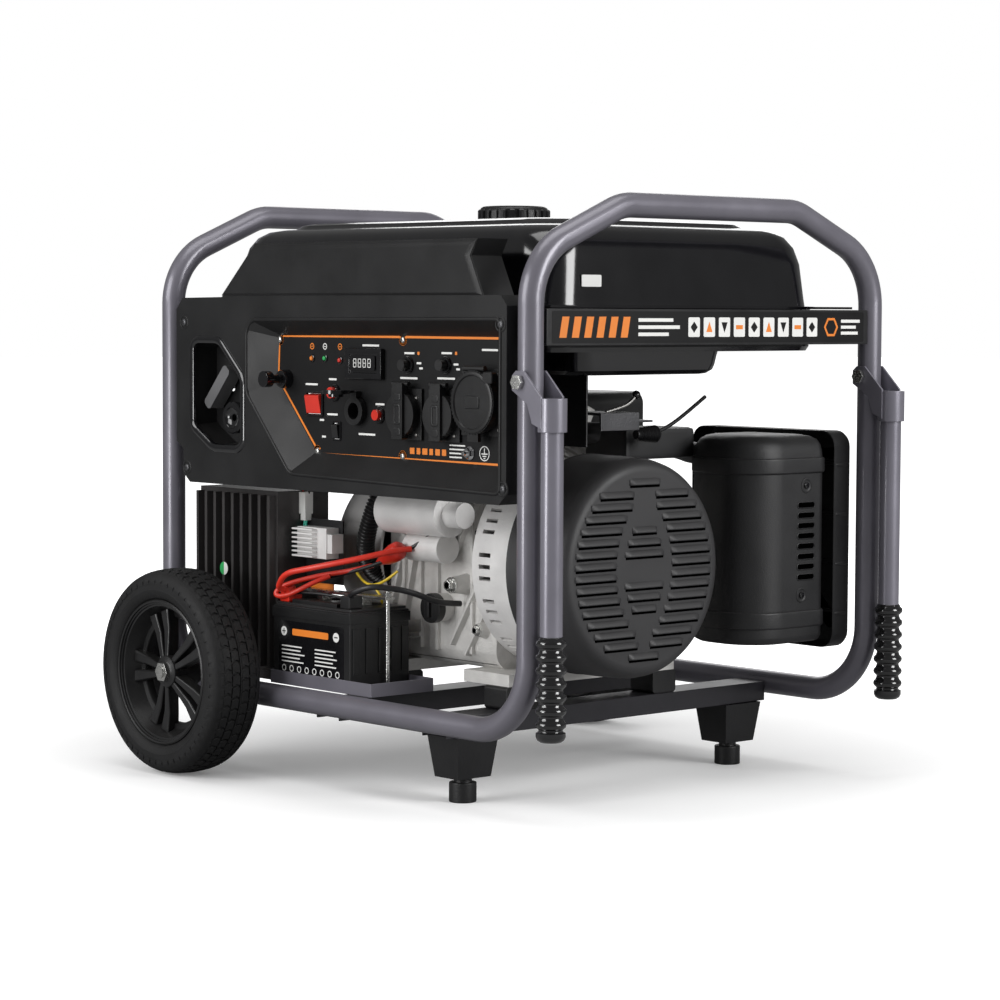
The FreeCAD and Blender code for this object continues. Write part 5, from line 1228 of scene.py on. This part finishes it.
for (x1, z1), (x2, z2) in RIBS:
    a, b = Vector((x1, z1)), Vector((x2, z2))
    side = Vector((a.y - b.y, b.x - a.x)).normalized()
    foot = [a + side * 5, a - side * 5, b - side * 5, b + side * 5]
    crest = [a + side * 2.4, a - side * 2.4, b - side * 2.4, b + side * 2.4]
    add_stack(bm, [[(p.x, CASE_FRONT + 2, p.y) for p in foot], [(p.x, CASE_FRONT - 8, p.y) for p in crest]])
for x, z, radius, reach in ((87, 272, 11, 26), (-52, 206, 9, 12), (124, 214, 9, 12), (128, 344, 9, 12),
                            (-56, 344, 9, 12), (40, 366, 9, 10)):
    add_turned(bm, "Y", (x, CASE_FRONT, z), [(3, radius + 4), (-reach * 0.5, radius + 1),
                                             (-reach + 1.5, radius),
                                             (-reach, radius - 1.4)], 32)
piece("crankcase_ribs", bm, "cast_aluminium", ease=1.4, angle=40)


def hex_bolt(across, height, washer):
    """A hexagon head on its washer, drawn facing -Y."""
    bm = bmesh.new()
    radius = across / 2 / math.cos(math.pi / 6)
    add_turned(bm, "Y", (0, 0, 0), [(0.4, washer), (-1.6, washer), (-1.9, washer - 0.5)], 28)
    add_turned(bm, "Y", (0, 0, 0), [(-1.7, radius), (-1.7 - height * 0.85, radius),
                                    (-1.7 - height, radius - 1)], 6)
    add_turned(bm, "Y", (0, 0, 0), [(-1.8 - height * 0.7, across * 0.36), (-1.7 - height, across * 0.36)], 24)
    return bm


BOLTS = [((87, CASE_FRONT - 26, 272), (0, 0, 0), (1.15, 1.15, 1.15))]
BOLTS += [((x, CASE_FRONT - 12, z), (0, 0, 0), (0.85, 0.85, 0.85))
          for x, z in ((-52, 206), (124, 214), (128, 344), (-56, 344))]
on_spots("crankcase_bolts", hex_bolt(12, 6, 9.5), BOLTS, "zinc_plate", ease=0.3)

# %% [markdown]
# ## Muffler
# An upright can of rolled sheet with a flat oval plan: a big radius at its front corner and a small
# one behind. Two seams where the end caps are rolled on stand proud, and eight slots let the hot gas
# out. The can is drawn as rings, and each slot is a raised frame round a black plate of painted shade that
# stands for the dark opening.

# %% Muffler can
MUFF_X, MUFF_Y = (190, 335), (125, 272)


def muffler_outline(grow):
    points = []
    low_x, high_x = MUFF_X[0] - grow, MUFF_X[1] + grow
    low_y, high_y = MUFF_Y[0] - grow, MUFF_Y[1] + grow
    corners = ((high_x, high_y, 16, 0), (low_x, high_y, 16, 90), (low_x, low_y, 60, 180),
               (high_x, low_y, 60, 270))
    for x, y, radius, start in corners:
        radius = max(6, radius + grow)
        centre = (x - math.copysign(radius, x - 262), y - math.copysign(radius, y - 198))
        points += arc(centre, radius, start, start + 90, 10)
    return points


MUFF_RINGS = [(186, -16), (186.4, -9), (189, -3.5), (193, -1), (197, 0), (208, 0), (209, 2.4), (211, 3.2),
              (228, 3.2), (230, 2.4), (231.5, 0), (417, 0), (418.5, 2.4), (420, 3.2), (436, 3.2), (438, 2.4),
              (439, 0), (447, -0.6), (456, -3), (463, -8), (467.5, -16), (469.6, -26), (470, -40)]
bm = bmesh.new()
add_stack(bm, [[(x, y, z) for x, y in muffler_outline(grow)] for z, grow in MUFF_RINGS])
piece("muffler_can", bm, "muffler_paint", "root", ("muffler",), angle=32)
wire("exhaust_pipe", [(97, 20, 470), (120, 20, 470), (146, 30, 470), (146, 80, 462), (146, 140, 452),
                      (150, 175, 446), (170, 176, 440), (198, 175, 440)], 15, "dark_steel")
bm = bmesh.new()
slot_outline = rounded(33, 7, 3.2, 4)
rings = [[(lift, y, z) for y, z in grown(slot_outline, g)] for g, lift in
         ((1.8, -0.4), (1.2, 0.8), (0.4, 1.1), (-0.2, 0.5), (-0.3, -1))]
add_stack(bm, rings, closed=False)
SLOT_AT = metres(MUFF_X[1], 230, 276.5)
repeated("muffler_slot_frames", bm, ROWS, {"Columns": 8, "Step": (0, 0, 0.014)}, "muffler_paint")
bpy.data.objects["muffler_slot_frames"].data.transform(Matrix.Translation(SLOT_AT))
# Painted shade: a black plate in each slot frame stands for the dark opening.
bm = bmesh.new()
add_plate(bm, slot_outline, "X", -0.5, 0.35)
repeated("muffler_slot_holes", bm, ROWS, {"Columns": 8, "Step": (0, 0, 0.014)}, "painted_shade_black")
bpy.data.objects["muffler_slot_holes"].data.transform(Matrix.Translation(SLOT_AT))
DIMPLES = [(230, 401), (222, 252)]
bm = bmesh.new()
for y, z in DIMPLES:
    add_turned(bm, "X", (MUFF_X[1], y, z), [(-0.5, 11), (0.9, 10), (1.1, 8.6), (0.1, 7.4), (-0.2, 5),
                                            (-0.2, 4)], 32,
               closed=False)
piece("muffler_dimples", bm, "muffler_paint", angle=40)
bm = bmesh.new()
for y, z in DIMPLES:
    add_turned(bm, "X", (MUFF_X[1], y, z), [(-0.3, 4.6), (2.2, 4.2), (2.8, 2)], 20)
piece("muffler_screws", bm, "gloss_plastic", angle=40)
bm = bmesh.new()
tray = rounded(271, 298, 22, 6, (210.5, 325))
add_stack(bm, [[(x, y, z) for x, z in grown(tray, g)] for y, g in
               ((310, -40), (310, -7), (308.4, -2.4), (304, 0), (275, 0), (274.4, -0.8), (275, -1.6),
                (303, -1.6), (306.6, -3.6), (308, -7.6), (308, -40))])
piece("muffler_guard_tray", bm, "muffler_paint", "root", ("muffler_guard",), angle=40)
bm = bmesh.new()
for z in (224, 292, 360, 428):
    add_turned(bm, "X", (0, 309, z), [(84, 1.0), (88, 3.4), (318, 3.4), (322, 1.0)], 16)
    add_turned(bm, "Y", (344.0, 0, z), [(277, 0.8), (280, 3.4), (300, 3.4), (303, 0.8)], 16)
piece("guard_creases", bm, "muffler_paint", angle=60)

# %% [markdown]
# ## Battery
# The starting battery is a ribbed black case in a folded tray, held down by a bar. Its label keeps the
# two pole signs and plain dashes. The poles have a red and a black boot, and the leads are the real
# ones of the CAD, with a fine insulation finish.

# %% Battery case, label and boots
softened("battery", "dark_plastic", width=1.6)
softened("battery_tray", "tube_paint", width=0.8)
softened("battery_clamp", "zinc_plate", width=0.5)
BAT_X, BAT_Y, BAT_TOP, BAT_LOW = (-153, 13), (-305, -203), 236, 131.5
bm = bmesh.new()
for y in (-296, -274, -252, -230, -212):
    add_block(bm, (BAT_X[1] - 1, BAT_X[1] + 1.6), (y - 5, y + 5), (BAT_LOW + 22, BAT_TOP - 22))
add_block(bm, (BAT_X[0] - 1.4, BAT_X[1] + 1.4), (BAT_Y[0] - 1.4, BAT_Y[1] + 1.4), (BAT_TOP - 16, BAT_TOP - 3))
for x in (-112, -84, -56, -28):
    add_turned(bm, "Z", (x, -228, BAT_TOP + 3.5), [(0, 8.5), (2.2, 8.5), (3, 7.2), (3, 2)], 24)
add_block(bm, (-118, -22), (-300, -284), (BAT_TOP + 3, BAT_TOP + 9))
piece("battery_ribs", bm, "dark_plastic", ease=0.8)
LABEL_Y = BAT_Y[0] - 0.3
bm = bmesh.new()
add_plate(bm, rounded(141, 72, 4, 4, (-70.5, 179.5)), "Y", LABEL_Y + 0.5, LABEL_Y)
piece("battery_label", bm, "gloss_plastic")
white, orange, dark = bmesh.new(), bmesh.new(), bmesh.new()
for x, z in ((-129, 201), (-16.5, 201)):
    add_turned(white, "Y", (x, LABEL_Y, z), [(0.3, 6.4), (-0.15, 6.4)], 28)
    add_plate(dark, [(x - 3.6, z - 0.8), (x + 3.6, z - 0.8), (x + 3.6, z + 0.8), (x - 3.6, z + 0.8)], "Y",
              LABEL_Y, LABEL_Y - 0.3)
add_plate(dark, [(-129.8, 197.4), (-128.2, 197.4), (-128.2, 204.6), (-129.8, 204.6)], "Y", LABEL_Y,
          LABEL_Y - 0.3)
add_plate(orange, rounded(78, 9, 2, 3, (-72, 201)), "Y", LABEL_Y + 0.3, LABEL_Y - 0.12)
seed = random.Random(7)
for column, count in ((-134, 5), (-62, 5)):
    for row in range(count):
        length = seed.uniform(38, 56)
        z = 181 - row * 5.2
        add_plate(white, [(column, z - 0.9), (column + length, z - 0.9), (column + length, z + 0.9),
                          (column, z + 0.9)], "Y", LABEL_Y + 0.3, LABEL_Y - 0.1)
for index in range(8):
    add_frame(white, arc((-129 + index * 16.5, 151), 4.6, 0, 330, 11), 1.2, "Y", LABEL_Y + 0.3,
              LABEL_Y - 0.12)
piece("battery_label_white", white, "white_print")
piece("battery_label_orange", orange, "orange_print")
piece("battery_label_signs", dark, "black_print")
for pole, x, finish, slot_name in (("plus", -135, "red_plastic", "lead_red"),
                                   ("minus", -5, "dark_plastic", "lead_black")):
    bm = bmesh.new()
    add_block(bm, (x - 10, x + 10), (-300, -277), (BAT_TOP + 4, BAT_TOP + 21))
    add_turned(bm, "Z", (x, -288, BAT_TOP + 18), [(0, 6.2), (6, 5.4), (8, 4.4)], 20)
    piece("battery_boot_" + pole, bm, finish, ease=1.8)
softened("battery_lead_red", "wire_red", width=0)
softened("battery_lead_black", "wire_black", width=0)

# %% [markdown]
# ## Wiring, regulator and hose
# In the bay behind the battery hang the finned charge regulator with its two white connectors, the
# corrugated breather hose of the carburettor, and thin leads to the starter's relay. The hose is a
# main piece that follows a rule: a tree sets its radius along the path from a sine of the distance.

# %% Regulator and connectors
bm = bmesh.new()
REG_X, REG_Y, REG_Z = (-156, -92), (-262, -240), (298, 340)
add_block(bm, REG_X, REG_Y, REG_Z)
for index in range(7):
    z = REG_Z[0] + 1.5 + index * 6.1
    add_block(bm, (REG_X[0] - 1, REG_X[0] + 44), (REG_Y[0] - 9, REG_Y[0] + 1), (z, z + 2.6))
add_block(bm, (REG_X[1] - 1, REG_X[1] + 10), (REG_Y[0] + 2, REG_Y[1]), (REG_Z[0] + 8, REG_Z[1] - 8))
piece("charge_regulator", bm, "smooth_cast", ease=0.8)
bm = bmesh.new()
add_block(bm, (-164, -84), (REG_Y[1], REG_Y[1] + 3), (262, 350))
piece("regulator_bracket", bm, "bracket_paint", ease=0.6)
bm = bmesh.new()
for x, z in ((-176, 372), (-158, 374)):
    add_block(bm, (x - 7, x + 7), (-252, -238), (z - 18, z + 12))
    add_block(bm, (x - 5.4, x + 5.4), (-250.5, -239.5), (z - 27, z - 17))
piece("white_connectors", bm, "white_plastic", ease=0.8)
for index, x in enumerate((-178, -174, -160, -156)):
    wire("charge_wire_%d" % index, [(x, -245, 348), (x - 1, -247, 334), (x + 4, -252, 318),
                                    (x + 14, -254, 310),
                                    (-150, -252, 306 + index * 4)], 1.6, "wire_green")
for index, (x, finish) in enumerate(((-170, "wire_black"), (-166, "wire_red"), (-152, "wire_black"))):
    wire("loom_%d" % index, [(x, -245, 384), (x, -244, 392), (x + 3, -240, 404), (x + 8, -238, 420)], 1.6,
         finish)

# %% Breather hose
HOSE_PATH = [(-22, -150, 432), (-30, -196, 410), (-38, -214, 388), (-52, -218, 352), (-68, -214, 318),
             (-80, -200, 290), (-84, -176, 268), (-78, -150, 262)]


def hose_tree():
    tree, given, result = geometry_tree("ribbed_hose", [
        ("Radius", "NodeSocketFloat", 0.011), ("Rib height", "NodeSocketFloat", 0.0016),
        ("Rib pitch", "NodeSocketFloat", 0.0048), ("Finish", "NodeSocketMaterial", None)])
    even = node(tree, "GeometryNodeResampleCurve", {"Curve": given.outputs["Item"], "Length": 0.0008},
                mode="LENGTH")
    along = node(tree, "GeometryNodeSplineParameter").outputs["Length"]
    turns = node(tree, "ShaderNodeMath", {0: along, 1: given.outputs["Rib pitch"]}, operation="DIVIDE")
    angle = node(tree, "ShaderNodeMath", {0: turns.outputs[0], 1: math.tau}, operation="MULTIPLY")
    wave = node(tree, "ShaderNodeMath", {0: angle.outputs[0]}, operation="SINE")
    radius = node(tree, "ShaderNodeMath", {0: wave.outputs[0], 1: given.outputs["Rib height"],
                                           2: given.outputs["Radius"]}, operation="MULTIPLY_ADD")
    thick = node(tree, "GeometryNodeSetCurveRadius", {"Curve": even.outputs[0], "Radius": 1.0})
    ring = node(tree, "GeometryNodeCurvePrimitiveCircle", {"Resolution": 28, "Radius": 1.0})
    sweep = node(tree, "GeometryNodeCurveToMesh",
                 {"Curve": thick.outputs[0], "Profile Curve": ring.outputs[0],
                                                   "Fill Caps": True})
    if "Scale" in sweep.inputs:
        tree.links.new(radius.outputs[0], sweep.inputs["Scale"])
    else:
        tree.links.new(radius.outputs[0], thick.inputs["Radius"])
    return close_tree(tree, given, result, sweep.outputs[0])


curve = bpy.data.curves.new("breather_path", "CURVE")
curve.dimensions = "3D"
spline = curve.splines.new("NURBS")
spline.points.add(len(HOSE_PATH) - 1)
for point, place in zip(spline.points, HOSE_PATH):
    point.co = (*metres(*place), 1)
spline.order_u, spline.use_endpoint_u, spline.resolution_u = 3, True, 8
holder = bpy.data.objects.new("breather_holder", curve)
bpy.context.scene.collection.objects.link(holder)
modifier = holder.modifiers.new("hose", "NODES")
modifier.node_group = hose_tree()
for socket in modifier.node_group.interface.items_tree:
    if socket.name == "Finish":
        modifier[socket.identifier] = FINISHES["hose_rubber"]
mesh = bpy.data.meshes.new_from_object(holder.evaluated_get(bpy.context.evaluated_depsgraph_get()))
bpy.data.objects.remove(holder)
settle(mesh, 60)
adopt("breather_hose", mesh, None)
print("hose faces", len(mesh.polygons))

# %% Boot, leads and tag
bm = bmesh.new()
BOOT = (28, -226, 320)
add_turned(bm, "X", (-14, BOOT[1], BOOT[2]), [(-16, 3.8), (-4, 7.4), (6, 11), (20, 13), (31, 13), (36, 10),
                                              (37, 4)], 28)
tilt = (Matrix.Translation(BOOT) @ Matrix.Rotation(math.radians(-24), 4, "Y")
        @ Matrix.Translation(-Vector(BOOT)))
bmesh.ops.transform(bm, matrix=tilt, verts=bm.verts)
piece("starter_boot", bm, "red_plastic", angle=50)
wire("boot_lead", [(-34, -228, 292), (-60, -240, 284), (-100, -270, 276), (-140, -300, 262),
                   (-150, -306, 250),
                   (-140, -304, 246), (-120, -298, 252), (-96, -280, 268), (-84, -262, 276)], 3.4,
     "wire_red")
wire("relay_lead_yellow", [(-76, -222, 280), (-58, -226, 268), (-34, -226, 264), (-10, -222, 274),
                           (2, -214, 286)],
     1.9, "wire_yellow")
wire("relay_lead_yellow_low", [(-34, -224, 262), (-24, -224, 254), (-20, -222, 244), (-26, -220, 238)], 1.9,
     "wire_yellow")
wire("loom_black_low", [(-120, -262, 268), (-84, -250, 276), (-40, -238, 288), (10, -226, 306),
                        (48, -206, 330),
                        (74, -192, 352)], 2.6, "wire_black")
wire("loom_black_flat", [(-128, -290, 252), (-96, -284, 254), (-60, -276, 252), (-20, -268, 248)], 2.2,
     "wire_black")
bm = bmesh.new()
tag = rounded(50, 40, 3, 3, (-132, 268))
add_plate(bm, tag, "Y", -236, -237.2)
piece("orange_tag", bm, "orange_print")

# %% [markdown]
# ## Small parts round the engine
# A black bracket and a bright tin one hold the governor linkage above the cover, with a ball on its
# lever and a ribbed boot on its cable. The beam carries a label strip with plain tiles in place of
# words, and the tank a blank white sticker.

# %% Governor bracket, lever and boot
bm = bmesh.new()
add_block(bm, (226, 300), (-150, -147), (462, 584))
add_block(bm, (226, 229), (-150, -92), (462, 584))
piece("governor_bracket", bm, "bracket_paint", ease=1.0)
bm = bmesh.new()
add_block(bm, (190, 262), (-90, -20), (500, 503))
add_block(bm, (262, 265), (-90, -20), (480, 503))
add_block(bm, (196, 230), (-20, 40), (488, 491))
piece("governor_plate", bm, "dark_steel", ease=0.8)
bm = bmesh.new()
add_block(bm, (118, 200), (20, 152), (436, 478))
piece("exhaust_shield", bm, "muffler_paint", ease=7.0)
wire("governor_lever", [(228, -46, 503), (229, -20, 508), (230, 0, 516), (230, 6, 523)], 2.6, "dull_steel")
bm = bmesh.new()
add_turned(bm, "Y", (230, 8, 525), [(-6, 0.6), (-5.2, 3.2), (-3, 5.2), (0, 6), (3, 5.2), (5.2, 3.2),
                                    (6, 0.6)], 20)
piece("lever_ball", bm, "gloss_plastic", angle=60)
bm = bmesh.new()
boot_profile = [(0, 6)]
for rib in range(6):
    boot_profile += [(2 + rib * 6, 6 + rib * 0.6), (5 + rib * 6, 9 + rib * 0.6)]
add_turned(bm, "Y", (230, 8, 472), boot_profile + [(38, 10)], 28)
piece("cable_boot", bm, "hose_rubber", angle=60)
wire("throttle_cable", [(230, 40, 472), (228, 70, 480), (226, 110, 500), (220, 150, 520)], 2.6, "wire_black")

# %% Beam label and tank sticker
BEAM_X = 383.2
white, orange, dark = bmesh.new(), bmesh.new(), bmesh.new()
add_plate(dark, rounded(576, 40, 2, 2, (0, 616)), "X", BEAM_X - 0.4, BEAM_X)
for index in range(6):
    base = -276 + index * 21
    add_plate(orange, [(base, 603), (base + 12, 603), (base + 17, 629), (base + 5, 629)], "X", BEAM_X,
              BEAM_X + 0.15)
for row, length in enumerate((62, 74, 54)):
    z = 625 - row * 9
    add_plate(white, [(-140, z - 2.2), (-140 + length, z - 2.2), (-140 + length, z + 2.2), (-140, z + 2.2)],
              "X",
              BEAM_X, BEAM_X + 0.15)
SIGNS = [[(0, -8), (8, 0), (0, 8), (-8, 0)], [(-7, -7), (7, -7), (0, 8)], [(-7, 7), (7, 7), (0, -8)],
         [(-8, -3), (8, -3), (8, 3), (-8, 3)]]
for index in range(9):
    y = -40 + index * 28
    add_plate(white, rounded(21, 25, 2, 3, (y, 616)), "X", BEAM_X, BEAM_X + 0.15)
    sign = [(y + a * 0.8, 616 + b * 0.9) for a, b in SIGNS[index % 4]]
    add_plate(orange if index % 2 else dark, sign, "X", BEAM_X + 0.1, BEAM_X + 0.3)
add_frame(orange, arc((222, 616), 14, 0, 300, 5), 3, "X", BEAM_X, BEAM_X + 0.2)
for row, length in enumerate((38, 30, 34)):
    z = 624 - row * 8
    add_plate(white, [(242, z - 2), (242 + length, z - 2), (242 + length, z + 2), (242, z + 2)], "X",
              BEAM_X, BEAM_X + 0.15)
piece("beam_label_ground", dark, "plate_film")
piece("beam_label_white", white, "white_print")
piece("beam_label_orange", orange, "orange_print")
bm = bmesh.new()
add_plate(bm, rounded(34, 15, 1.5, 3, (-176, 674)), "X", TANK_X - 0.4, TANK_X + 0.5)
piece("tank_sticker", bm, "white_print")
bm = bmesh.new()
add_turned(bm, "Y", (-272, -300.5, 276), [(0.3, 9), (-0.3, 9)], 28)
piece("module_sticker", bm, "white_print")
bm = bmesh.new()
add_plate(bm, [(-272, 267)] + arc((-272, 276), 9, -90, -270, 12)[1:], "Y", -300.6, -301.0)
piece("module_sticker_half", bm, "green_print")
print("small parts ready")
